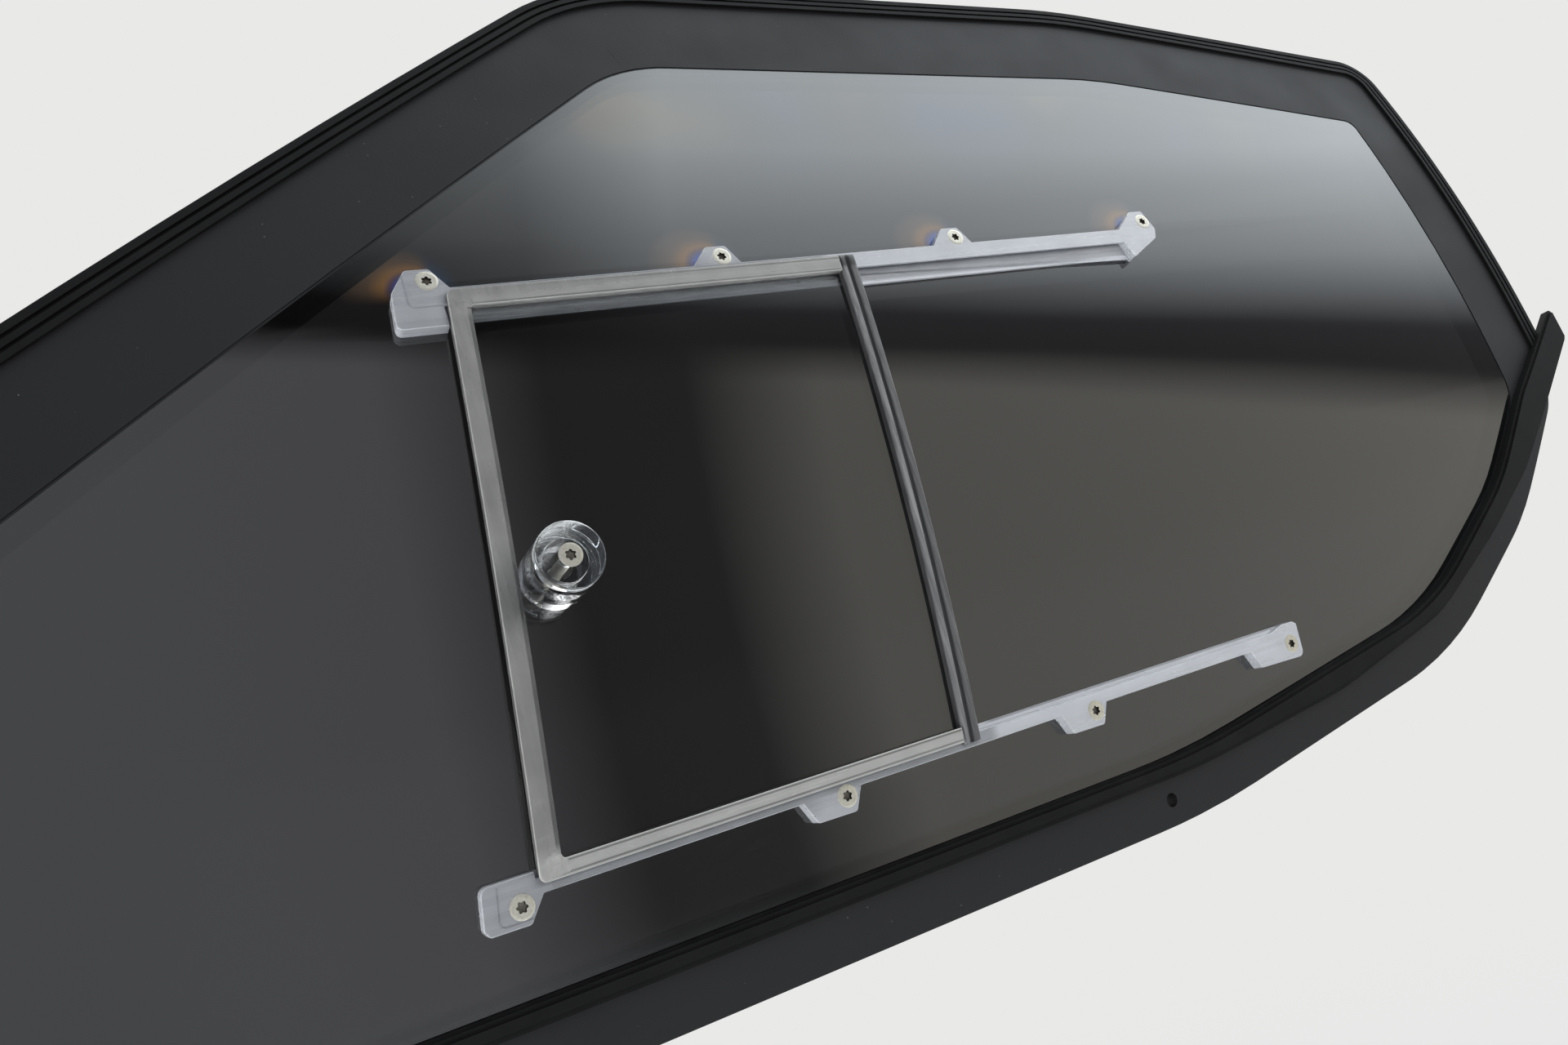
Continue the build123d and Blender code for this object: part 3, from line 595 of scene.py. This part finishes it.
def rail_shape(edge, outline, rounds, slot, ends, middle, screws, pocket, panel, strip):
    """Rail with its channel, soft edges and countersunk holes; its depth attribute says where it is milky, and where
    light and shade are painted.
    """
    start, end = ends
    channel = extruded([(start(arc), arc, out) for arc, out in slot], lambda point: (end(point.y), point.y, point.z))
    bm = carved(prism(outline, RAIL_BACK, RAIL_TOP, rounds), channel)
    soften(bm, edge)
    # a boss stands round the first screw in the pocket
    holes = [(x * 1000, arc * 1000) for x, arc in screws]
    boss, pocket_top, under, over = 4.9, 4.4, -2, 9
    pin = moved(spun([(0, under), (boss, under), (boss, over), (0, over)], 48), Matrix.Translation((*holes[0], 0)))
    hollow = carved(prism(pocket, under / 2, pocket_top, ((1.8, (0, 1, 2)),)), pin)
    bm = carved(bm, hollow, *[sink_cutter(*hole) for hole in holes])
    # the pocket's wall shows through the face as a dark line, its floor as a lighter field
    (left, top), (corner, base), (right, _), _ = panel
    inset, wall_out, floor_out = 0.6, RAIL_TOP - 0.04, RAIL_TOP - 0.08
    field = [(left + inset, top), (corner + inset, base + inset), (right, base + inset), (right, top)]
    bm = carved(bm, prism(panel, wall_out, over, ((3.0, (1,)),)))
    bm = carved(bm, prism(field, floor_out, over, ((2.5, (1,)),)))
    cut_across(bm, strip)
    cut_across(bm, (-110, RAIL_SPLIT - 2, RAIL_SPLIT + 3), Vector((1, 0, 0)))
    # painted light and shade go into the depth attribute with the milkiness, part by part
    depth = bm.verts.layers.float.new("depth")
    for vert in bm.verts:
        x, arc, out = vert.co
        if PLATE_OUT[0] < out < PLATE_OUT[1] and arc > strip[0] + 0.05:
            part = "front plate" if x < RAIL_SPLIT else "rear plate"
        elif abs(out - wall_out) < 0.01:
            part = "pocket wall"
        elif abs(out - floor_out) < 0.01:
            part = "pocket floor"
        elif out <= RAIL_TOP - 0.02:
            part = "side"
        elif x < holes[0][0] + 4:
            part = "front tab"
        elif x < RAIL_SPLIT:
            part = "front lip" if LIP_ARCS[0] < arc < LIP_ARCS[1] else "front tabs"
        else:
            part = "rear"
        vert[depth] = RAIL_MILK_AND_LIGHT[part]
    moved(bm, seat(0, middle / 1000, 0) @ Matrix.Scale(0.001, 4) @ Matrix.Translation((0, -middle, 0)))
    bmesh.ops.recalc_face_normals(bm, faces=bm.faces)
    return bm


# Hatch frame and rear stile in mm: x from the front edge of the hatch, and arc
LEAN = 0.103
HATCH_FRONT, HATCH_LENGTH = -127.9, 197.6
STILE = 9.0
BAR_TOP, BAR_UPPER = 134.0, 8.4
BAR_BOTTOM, BAR_LOWER = -102.0, 6.4
HATCH_LOW, HATCH_FACE = 4.1, 8.4
# Where the lips of the two rails begin, and how high the hatch clears them
LIP_LOW, LIP_HIGH, OVER_LIP = -98.4, 126.8, 6.4
# How bright each part of the hatch frame is, as for the rails: milkiness with painted light, the low bar lighter than
# the high bar and the stile, the sides in painted shade; rounded edges get a painted highlight
HATCH_MILK_AND_LIGHT = {"low bar": 0.6, "stile": 0.25, "high bar": 0.37, "side": 0.05}
EDGE_HIGHLIGHT, MARK_MILK, SHADE_LINE_SHARE = 0.4, 0.1, 0.2


def slanted(*points):
    """Points of the hatch, which leans back with height."""
    return [(HATCH_FRONT + x + LEAN * arc, arc) for x, arc in points]


def hatch_frame_shape(edge):
    """Front stile with two bars, stepped along its inner edge, with two round mould marks."""
    end = HATCH_LENGTH - STILE
    inner_low, inner_high = BAR_BOTTOM + BAR_LOWER, BAR_TOP - BAR_UPPER
    outline = slanted(
        (0, BAR_BOTTOM), (end, BAR_BOTTOM), (end, inner_low), (STILE, inner_low),
        (STILE, inner_high), (end, inner_high), (end, BAR_TOP), (0, BAR_TOP),
    )
    bm = prism(outline, HATCH_LOW, HATCH_FACE, ((3.0, (0, 7)), (1.6, (3, 4))))
    far = 300
    bm = carved(bm, *[
        prism([(-far, lip), (far, lip), (far, past), (-far, past)], 0, OVER_LIP)
        for lip, past in ((LIP_HIGH, 150), (LIP_LOW, -120))
    ])
    soften(bm, edge)
    step_low, step_high, over = inner_low + 1.5, inner_high - 1, 2
    for width, depth in ((1.9, 0.6), (1.0, 1.3)):
        step = slanted(
            (STILE - width, step_low), (STILE + over, step_low),
            (STILE + over, step_high), (STILE - width, step_high),
        )
        bm = carved(bm, prism(step, HATCH_FACE - depth, HATCH_FACE + over))
    mark, marks, spots = 2.6, [], []
    for arc, deep in ((inner_low + 1, 0.25), (inner_high - 1, 0.1)):
        floor, above = HATCH_FACE - deep, HATCH_FACE + 1
        spots += [Vector(spot) for spot in slanted((STILE * 0.72, arc))]
        marks.append(moved(
            spun([(0, floor), (mark, floor), (mark + 0.1, above), (0, above)], 32),
            Matrix.Translation((*spots[-1], 0)),
        ))
    bm = carved(bm, *marks)
    # painted shade: dark lines along the bars, where the rail's lip and the pane's edge end under them
    lines = (inner_high + 0.7, BAR_TOP - 1.5, inner_low - 1.0, BAR_BOTTOM + 1.2)
    cut_across(bm, [*range(-90, 124, 6), *[line + away for line in lines for away in (-0.5, -0.2, 0.2, 0.5)]])
    cut_across(bm, (-127.5, -126.5, -105, -104), Vector((1, 0, 0)))
    depth, upright = bm.verts.layers.float.new("depth"), bm.verts.layers.float.new("upright")
    for vert in bm.verts:
        on_stile = vert.co.x - HATCH_FRONT - LEAN * vert.co.y < STILE + 1.8
        face = HATCH_MILK_AND_LIGHT["low bar" if vert.co.y < inner_low + 2 else "stile" if on_stile else "high bar"]
        below = HATCH_FACE - vert.co.z
        on_face = below < 0.05
        if on_face and not on_stile and any(abs(vert.co.y - line) < 0.3 for line in lines):
            face *= SHADE_LINE_SHARE
        if any((vert.co.xy - spot).length < mark + 0.2 for spot in spots):
            vert[depth] = face + MARK_MILK
        elif on_face:
            vert[depth] = face
        else:
            # painted highlight on the rounded edges, painted shade on the sides
            vert[depth] = face + EDGE_HIGHLIGHT if below < edge + 0.02 else HATCH_MILK_AND_LIGHT["side"]
        vert[upright] = 1.0 if on_stile else 0.0
    return pressed(bm)


# Section of the rear stile in mm: x across it and out
STILE_SECTION = [
    (0.0, 4.1), (9.0, 4.1), (9.0, 7.3), (8.7, 8.0), (8.1, 8.4), (6.0, 8.4), (5.4, 8.1), (5.0, 7.4),
    (4.5, 6.9), (3.9, 6.9), (3.5, 7.4), (3.1, 8.1), (2.6, 8.4), (1.3, 8.4), (0.8, 8.1), (0.5, 7.4), (0.0, 6.9),
]
# Painted light and shade on each part of it, as its glow attribute: painted highlights on the ridges, the rim and the
# rear edge, painted shade in the groove, on the ridge sides and on the hook
STILE_PAINTED_LIGHT = {
    "hook": 0.35, "rim": 1.2, "ridge": 1.6, "ridge side": 0.5, "groove": 0.35, "body": 0.9, "rear edge": 1.6
}


def rear_stile_shape():
    """Ridged profile that hooks over the upper rail with a rounded end."""
    low, high, hook = BAR_BOTTOM - 1, BAR_TOP + 0.8, 130
    start = HATCH_FRONT + HATCH_LENGTH - STILE
    bm = prism(STILE_SECTION, low, high)
    for vert in bm.verts:
        x, out, arc = vert.co
        vert.co = (start + x + LEAN * arc, arc, out)
    lips = [lip + away for lip in (LIP_LOW, LIP_HIGH) for away in (-0.1, 0.1)]
    cut_across(bm, [*range(-96, 126, 6), *lips, 128.5, hook, 131, 132, 133, 133.8, 134.4])
    # each vertex gets its painted light or painted shade
    glow = bm.verts.layers.float.new("glow")
    for vert in bm.verts:
        arc, out = vert.co.y, vert.co.z
        across = vert.co.x - start - LEAN * arc
        if arc > LIP_HIGH + 0.2:
            part = "hook" if arc < 133.5 else "rim"
        elif across < 3.3:
            part = "ridge" if out > 7.2 else "ridge side"
        else:
            part = "groove" if across < 5.2 else "rear edge" if across > 8.4 else "body"
        vert[glow] = STILE_PAINTED_LIGHT[part]
        if arc > LIP_HIGH or arc < LIP_LOW:
            # past the lips of the rails the underside clears them, and the ridges run out in a quarter round
            fall = max(0.0, (arc - hook) / (high - hook))
            crown = HATCH_FACE - 1.7 * (1 - sqrt(max(0.0, 1 - fall**2)))
            vert.co.z = max(OVER_LIP, min(out, crown))
    bmesh.ops.remove_doubles(bm, verts=bm.verts, dist=1e-4)
    return pressed(bm)


def six_lobed(bm, radius, depth):
    """Waves the points of a socket so that it takes a six-lobed key, and marks them for painted shade."""
    socket_shade = bm.verts.layers.float.new("socket_shade")
    for vert in bm.verts:
        reach = sqrt(vert.co.x**2 + vert.co.y**2)
        if reach < radius + 1.5e-4 and vert.co.z > -depth - 5e-4:
            on_floor = vert.co.z < -depth + 2e-4
            # painted shade: full on the socket's walls, a little less on its floor
            vert[socket_shade] = 0.75 if on_floor else 1.0 if vert.co.z < -1.8e-4 else 0.0
            if vert.co.z > -depth - 1e-5 and reach > 1e-5:
                wave = 1 + 0.17 * cos(6 * atan2(vert.co.y, vert.co.x))
                vert.co.x *= wave
                vert.co.y *= wave


def screw_shape(length):
    """Countersunk M5 screw, its head's face at z = 0, with a socket for a size 25 key."""
    head, shank, socket, deep = 0.00465, 0.0025, 0.00193, 0.0018
    groove, cut, pitch = 0.0033, 0.00007, 0.0008
    cone = head - shank
    profile = [
        # floor and wall of the socket
        (0, -deep - 0.0004), (socket * 0.55, -deep), (socket * 0.94, -deep + 0.0001),
        (socket * 0.98, -0.0002), (socket, -0.00008), (socket + 0.0001, 0),
        # turned groove in the face
        (groove - 0.00012, 0), (groove - 0.00006, -cut), (groove + 0.00006, -cut), (groove + 0.00012, 0),
        # rim and cone
        (head - 0.00022, 0), (head - 0.00005, -0.00006), (head, -0.0002), (head, -0.0003),
        (shank + 0.00006, -cone - 0.00036), (shank, -cone - 0.0005),
    ]
    # the last turns of its thread, as rings
    for ring in (4, 3, 2, 1):
        crest = ring * pitch - length
        profile += [(shank, crest), (shank - pitch / 2, crest - pitch / 2)]
    profile += [(shank - 0.0005, -length), (0, -length)]
    bm = spun(profile, 72)
    six_lobed(bm, socket, deep)
    return bm


def nut_shape():
    """Washer and nylon-ring nut, outer face towards -z, seated at z = 0."""
    bore, rim, thick, soft = 0.0026, 0.007, 0.0012, 0.0001
    corner, height = 0.00462, 0.0035
    collar, tip = -0.0046, -0.0059
    washer = spun([
        (bore, 0), (rim - soft, 0), (rim, -soft), (rim, soft - thick), (rim - soft, -thick), (bore, -thick),
        (bore, 0),
    ], 48)
    hexagon = bmesh.new()
    bmesh.ops.create_cone(
        hexagon, cap_ends=True, segments=6, radius1=corner, radius2=corner, depth=height,
        matrix=Matrix.Translation((0, 0, -thick - height / 2)),
    )
    bevelled(hexagon, hexagon.edges, 0.0002, 2)
    nylon = spun([
        (bore, collar), (0.0037, collar), (0.0038, collar - soft), (0.0034, tip + 0.0002), (0.0031, tip),
        (bore, tip), (bore, collar),
    ], 48)
    return joined([washer, hexagon, nylon])


KNOB_SOFT = 0.00015


def spacer_shape(radius, bore, height):
    """Clear tube with softened edges, its foot at z = 0."""
    soft = KNOB_SOFT
    return spun([
        (bore, soft), (bore + soft, 0), (radius - soft, 0), (radius, soft),
        (radius, height - soft), (radius - soft, height), (bore + soft, height), (bore, height - soft),
        (bore, soft),
    ], 128)


def head_shape(radius, bore, height):
    """Clear cap, hollow below, with a countersunk hole and a rounded rim."""
    hole, sink, ledge, roof, curve, soft = 0.00275, 0.0047, height - 0.0003, 0.0045, 0.0009, KNOB_SOFT
    profile = [(hole, roof), (bore - soft, roof), (bore, roof - soft), (bore, soft), (bore + soft, 0)]
    profile += [(radius - soft, 0), (radius, soft)]
    for step in range(9):
        turn = step / 8 * pi / 2
        profile.append((radius - curve + curve * cos(turn), height - curve + curve * sin(turn)))
    profile += [(sink, height), (sink, ledge), (hole, ledge - (sink - hole)), (hole, roof)]
    return spun(profile, 128)


# --- operators


class PieceOperator:
    """What the piece operators share."""

    bl_options = {"REGISTER"}


class WINDOW_OT_frame(PieceOperator, bpy.types.Operator):
    """Paint the moulded frame and dress its adhesive"""

    bl_idname = "side_window.frame"
    bl_label = "Window frame"

    def execute(self, context):
        paint = painted_composite(context.scene.window_frame_settings)
        dress(paint, "frame_sill", "frame_post", "frame_roof", "frame_pillar")
        dress(bonding_adhesive(), "bond_bead")
        return {"FINISHED"}


class WINDOW_OT_seals(PieceOperator, bpy.types.Operator):
    """Dress the rubber round the frame and along the sill"""

    bl_idname = "side_window.seals"
    bl_label = "Rubber seals"

    def execute(self, context):
        rubber = seal_rubber(context.scene.window_frame_settings)
        dress(rubber, "seal_post", "seal_roof", "seal_pillar", "waist_seal")
        return {"FINISHED"}


class WINDOW_OT_panes(PieceOperator, bpy.types.Operator):
    """Give both panes their smoked polycarbonate"""

    bl_idname = "side_window.panes"
    bl_label = "Panes"

    def execute(self, context):
        settings = context.scene.window_pane_settings
        dress(smoked_polycarbonate(settings, "smoked_polycarbonate", 1.0, stressed=UPPER_SCREWS), "main_pane")
        over_rail = seat(0, OVER_RAIL, 0).translation.z
        dress(smoked_polycarbonate(settings, "smoked_hatch_pane", 0.7, over_rail), "slider_pane")
        return {"FINISHED"}


class WINDOW_OT_rails(PieceOperator, bpy.types.Operator):
    """Build the two moulded rails"""

    bl_idname = "side_window.rails"
    bl_label = "Rails"

    def execute(self, context):
        settings = context.scene.window_rail_settings
        frosted = frosted_polycarbonate("frosted_rail_polycarbonate", settings.tone)
        for name, rail in RAILS.items():
            bm = rail_shape(settings.edge * 1000, **rail)
            finish_piece(bm, f"moulded_{name}", "window", frosted, name, even=True)
        return {"FINISHED"}


class WINDOW_OT_hatch_frame(PieceOperator, bpy.types.Operator):
    """Build the hatch's moulded frame and its ridged rear stile"""

    bl_idname = "side_window.hatch_frame"
    bl_label = "Hatch frame"

    def execute(self, context):
        settings = context.scene.window_rail_settings
        frosted = frosted_polycarbonate("frosted_hatch_polycarbonate", settings.hatch_tone)
        bm = hatch_frame_shape(settings.edge * 1000)
        finish_piece(bm, "hatch_frame", "hatch", frosted, "slider_frame", even=True)
        bm = rear_stile_shape()
        finish_piece(bm, "ridged_stile", "hatch", stile_plastic(), "rear_stile", 50, even=True)
        return {"FINISHED"}


class WINDOW_OT_fasteners(PieceOperator, bpy.types.Operator):
    """Build the countersunk screws and their nuts"""

    bl_idname = "side_window.fasteners"
    bl_label = "Screws and nuts"

    def execute(self, context):
        metal = titanium(context.scene.window_hardware_settings)
        zinc = zinc_plate()
        for side, places, first_turn in (("upper", UPPER_SCREWS, 5), ("lower", LOWER_SCREWS, 40)):
            for number, (x, arc) in enumerate(places, 1):
                turn = Matrix.Rotation(radians(17 * number + first_turn), 4, "Z")
                screw, nut = f"{side}_screw_{number}", f"{side}_nut_{number}"
                bm = moved(screw_shape(SCREW_LENGTH), seat(x, arc, RAIL_FACE + SCREW_PROUD) @ turn)
                finish_piece(bm, f"titanium_{screw}", "window", metal, screw)
                bm = moved(nut_shape(), seat(x, arc, PANE_BACK) @ turn)
                finish_piece(bm, f"zinc_{nut}", "window", zinc, nut)
        return {"FINISHED"}


class WINDOW_OT_knob(PieceOperator, bpy.types.Operator):
    """Build the clear knob with its spacer, screw and backing disc"""

    bl_idname = "side_window.knob"
    bl_label = "Knob"

    def execute(self, context):
        settings = context.scene.window_hardware_settings
        acrylic = cast_acrylic()
        radius, bore = settings.knob_radius, settings.knob_bore
        spacer, head = settings.spacer_height, settings.head_height
        bm = moved(spacer_shape(radius, bore, spacer), seat(KNOB_X, KNOB_ARC, KNOB_FOOT))
        finish_piece(bm, "acrylic_spacer", "hatch", acrylic, "knob_spacer")
        bm = moved(head_shape(radius, bore, head), seat(KNOB_X, KNOB_ARC, KNOB_FOOT + spacer))
        finish_piece(bm, "acrylic_head", "hatch", acrylic, "knob_head")
        face = seat(KNOB_X, KNOB_ARC, KNOB_FOOT + spacer + head - KNOB_SINK)
        bm = moved(screw_shape(spacer + head + KNOB_GRIP), face @ Matrix.Rotation(radians(20), 4, "Z"))
        finish_piece(bm, "knob_bolt", "hatch", titanium(settings), "knob_screw")
        dress(zinc_plate(), "knob_backing")
        return {"FINISHED"}


# --- stage


def grey(level, alpha=1.0):
    """A level of neutral light."""
    return (level, level, level, alpha)


def soft_dome(backdrop):
    """World: pale to the camera, through glass and behind the window, a soft dome in front of it."""
    world = bpy.data.worlds.new("soft_dome")
    world.use_nodes = True
    world.node_tree.nodes.clear()
    add = partial(add_node, world.node_tree)
    direction = add("TexCoord").outputs["Generated"]
    x, y, z = add("SeparateXYZ", {"Vector": direction}).outputs
    # soft walls in front: mid grey at the left, dark in the middle, light at the right;
    # alpha says how bright the soft box is above each of them
    walls = add("ValToRGB", {"Fac": x}, [
        (0.0, (0.46, 0.47, 0.50, 0.3)), (0.17, (0.44, 0.44, 0.47, 0.3)), (0.30, grey(0.09, 0.45)),
        (0.41, grey(0.10)), (0.51, (0.55, 0.54, 0.50, 1.0)), (0.86, (0.55, 0.54, 0.50, 1.0)),
        (1.0, (0.25, 0.25, 0.24, 1.0)),
    ])
    # one large overhead soft box whose outer edge runs along the window, over a dark edge
    tilt = add("VectorMath", {0: direction, 1: (0.25, 0.62, 0.74)}, operation="DOT_PRODUCT")
    spread = add("MapRange", {"Value": tilt, "From Min": -1.0, "From Max": 1.0})
    box = add("ValToRGB", {"Fac": spread}, [
        (0.475, grey(0.08, 0.0)), (0.505, grey(0.08)), (0.53, (0.10, 0.10, 0.11, 1)),
        (0.58, (1.0, 1.07, 1.12, 1)), (0.66, (1.75, 1.88, 1.97, 1)),
    ])
    sky = add("VectorMath", {0: box, "Scale": walls.outputs["Alpha"]}, operation="SCALE")
    dome = add("Mix", {"Factor": box.outputs["Alpha"], 6: walls, 7: sky}, data_type="RGBA")
    # light from the ground in front
    below = add("MapRange", {"Value": z, "From Min": -0.38, "From Max": -0.55}, **SMOOTH)
    around = add("Mix", {"Factor": below, 6: dome, 7: grey(1.2)}, data_type="RGBA")
    # clear pieces see it with more contrast
    rays = add("LightPath")
    through = rays.outputs["Is Transmission Ray"]
    contrast = add("MapRange", {"Value": through, "To Min": 1.0, "To Max": 1.8})
    crisp = add("Gamma", {"Color": around, "Gamma": contrast})
    # and two bright strips in it, one low and one overhead, which make their streaks
    height = add("MapRange", {"Value": z, "From Min": -1.0, "From Max": 1.0})
    strips = add("ValToRGB", {"Fac": height}, [
        (0.27, grey(0)), (0.33, grey(4)), (0.49, grey(4)), (0.53, grey(0)), (0.86, grey(0)), (0.92, grey(5)),
    ])
    rearwards = add("MapRange", {"Value": x, "From Min": -0.1, "From Max": 0.1})
    lit = add("Math", {0: rearwards, 1: through}, operation="MULTIPLY")
    soft = add("Background", {"Color": glazed(add, crisp, strips, lit), "Strength": 1.0})
    plain = add("Background", {"Color": backdrop, "Strength": 1.0})
    behind = add("MapRange", {"Value": y, "From Min": -0.1, "From Max": 0.2}, **SMOOTH)
    bent = add("Math", {0: rays.outputs["Is Glossy Ray"], 1: through}, operation="MAXIMUM")
    shine = add("Math", {0: bent, 1: behind}, operation="MULTIPLY")
    shown = add("Math", {0: rays.outputs["Is Camera Ray"], 1: shine}, operation="MAXIMUM")
    mixed = add("MixShader", {0: shown, 1: soft, 2: plain})
    add("OutputWorld", {"Surface": mixed})
    return world


def pale_floor(backdrop):
    """A pale sheet below the window that runs out softly into the backdrop."""
    middle = (0.0, 0.0, -0.5)
    bm = bmesh.new()
    bmesh.ops.create_grid(bm, x_segments=2, y_segments=2, size=2.2, matrix=Matrix.Translation(middle))
    mesh = mesh_of("floor", bm)
    material, add, place = new_material("pale_floor")
    diffuse = add("BsdfDiffuse", {"Color": linear(0xE4E4E3)})
    glow = add("Emission", {"Color": backdrop, "Strength": 1.0})
    rays = add("LightPath")
    seen = add("Math", {0: rays.outputs["Is Camera Ray"], 1: rays.outputs["Is Transmission Ray"]}, operation="MAXIMUM")
    share = add("Math", {0: seen, 1: 0.8}, operation="MULTIPLY")
    both = add("MixShader", {0: share, 1: diffuse, 2: glow})
    reach = add("VectorMath", {0: place, 1: middle}, operation="DISTANCE")
    fade = add("MapRange", {"Value": reach, "From Min": 0.7, "From Max": 1.8}, **SMOOTH)
    clear = add("BsdfTransparent")
    mesh.materials.append(closed(material, add("MixShader", {0: fade, 1: both, 2: clear})))
    placed("floor", mesh)


def area_lamp(name, place, target, **settings):
    """Diffuse light from an area, which no pane mirrors."""
    lamp = bpy.data.lights.new(name, "AREA")
    for setting, value in settings.items():
        setattr(lamp, setting, value)
    light = placed(name, lamp)
    light.location = place
    light.visible_glossy = light.visible_transmission = False
    light.rotation_euler = (Vector(target) - light.location).to_track_quat("-Z", "Y").to_euler()


def photo_camera(focal_length):
    """Camera at the photograph's place."""
    lens = bpy.data.cameras.new("camera")
    lens.sensor_width = 36.0
    lens.lens = focal_length
    lens.clip_start = 0.01
    camera = placed("camera", lens)
    turned = Matrix((
        (0.86635298, 0.17996017, -0.46588287),
        (-0.39766413, -0.31578863, -0.86147593),
        (-0.30215187, 0.93160715, -0.20202072),
    ))
    camera.matrix_world = Matrix.Translation((-0.2336366, -0.4457787, 0.0659638)) @ turned.to_4x4()
    return camera


class WINDOW_OT_stage(PieceOperator, bpy.types.Operator):
    """Set up the floor, the soft light and the camera"""

    bl_idname = "side_window.stage"
    bl_label = "Stage"

    def execute(self, context):
        scene = context.scene
        settings = scene.window_stage_settings
        backdrop = (*settings.backdrop, 1)
        scene.world = soft_dome(backdrop)
        pale_floor(backdrop)
        # a soft key in front of the rear end
        area_lamp("soft_key", (0.5, -0.75, 0.35), (0.1, 0.0, 0.2), shape="RECTANGLE", size=0.8, size_y=0.6, energy=8)
        # and a low light from the front end, along the window, for the walls that face it
        area_lamp("low_fill", (-1.3, -0.13, -0.1), (0.0, 0.0, 0.2), size=0.4, spread=radians(50), energy=1.8)
        scene.camera = photo_camera(settings.focal_length)
        scene.view_settings.view_transform = "Standard"
        return {"FINISHED"}


class WINDOW_PT_panel(bpy.types.Panel):
    """Lists the settings and pieces of the side window"""

    bl_label = "Side Window"
    bl_idname = "WINDOW_PT_panel"
    bl_space_type = "VIEW_3D"
    bl_region_type = "UI"
    bl_category = "Side Window"

    def draw(self, context):
        for group, title in SETTINGS.items():
            self.layout.label(text=title)
            settings = getattr(context.scene, group)
            for name in settings.bl_rna.properties.keys():
                if name not in ("rna_type", "name"):
                    self.layout.prop(settings, name)
        for piece in PIECES:
            self.layout.operator(piece.bl_idname)


SETTINGS = {
    "window_frame_settings": "Frame and rubber",
    "window_pane_settings": "Panes",
    "window_rail_settings": "Rails",
    "window_hardware_settings": "Knob and screws",
    "window_stage_settings": "Stage",
}
GROUPS = (FrameSettings, PaneSettings, RailSettings, HardwareSettings, StageSettings)
PIECES = (
    WINDOW_OT_stage,
    WINDOW_OT_frame,
    WINDOW_OT_seals,
    WINDOW_OT_panes,
    WINDOW_OT_rails,
    WINDOW_OT_hatch_frame,
    WINDOW_OT_fasteners,
    WINDOW_OT_knob,
)


def register():
    for group in (*GROUPS, *PIECES, WINDOW_PT_panel):
        bpy.utils.register_class(group)
    for name, group in zip(SETTINGS, GROUPS):
        setattr(bpy.types.Scene, name, PointerProperty(type=group))


def unregister():
    for name in SETTINGS:
        delattr(bpy.types.Scene, name)
    for group in reversed((*GROUPS, *PIECES, WINDOW_PT_panel)):
        bpy.utils.unregister_class(group)


def main():
    """Builds every piece in order."""
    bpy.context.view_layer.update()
    register()
    bpy.ops.side_window.stage()
    bpy.ops.side_window.frame()
    bpy.ops.side_window.seals()
    bpy.ops.side_window.panes()
    bpy.ops.side_window.rails()
    bpy.ops.side_window.hatch_frame()
    bpy.ops.side_window.fasteners()
    bpy.ops.side_window.knob()


if __name__ == "__main__":
    main()
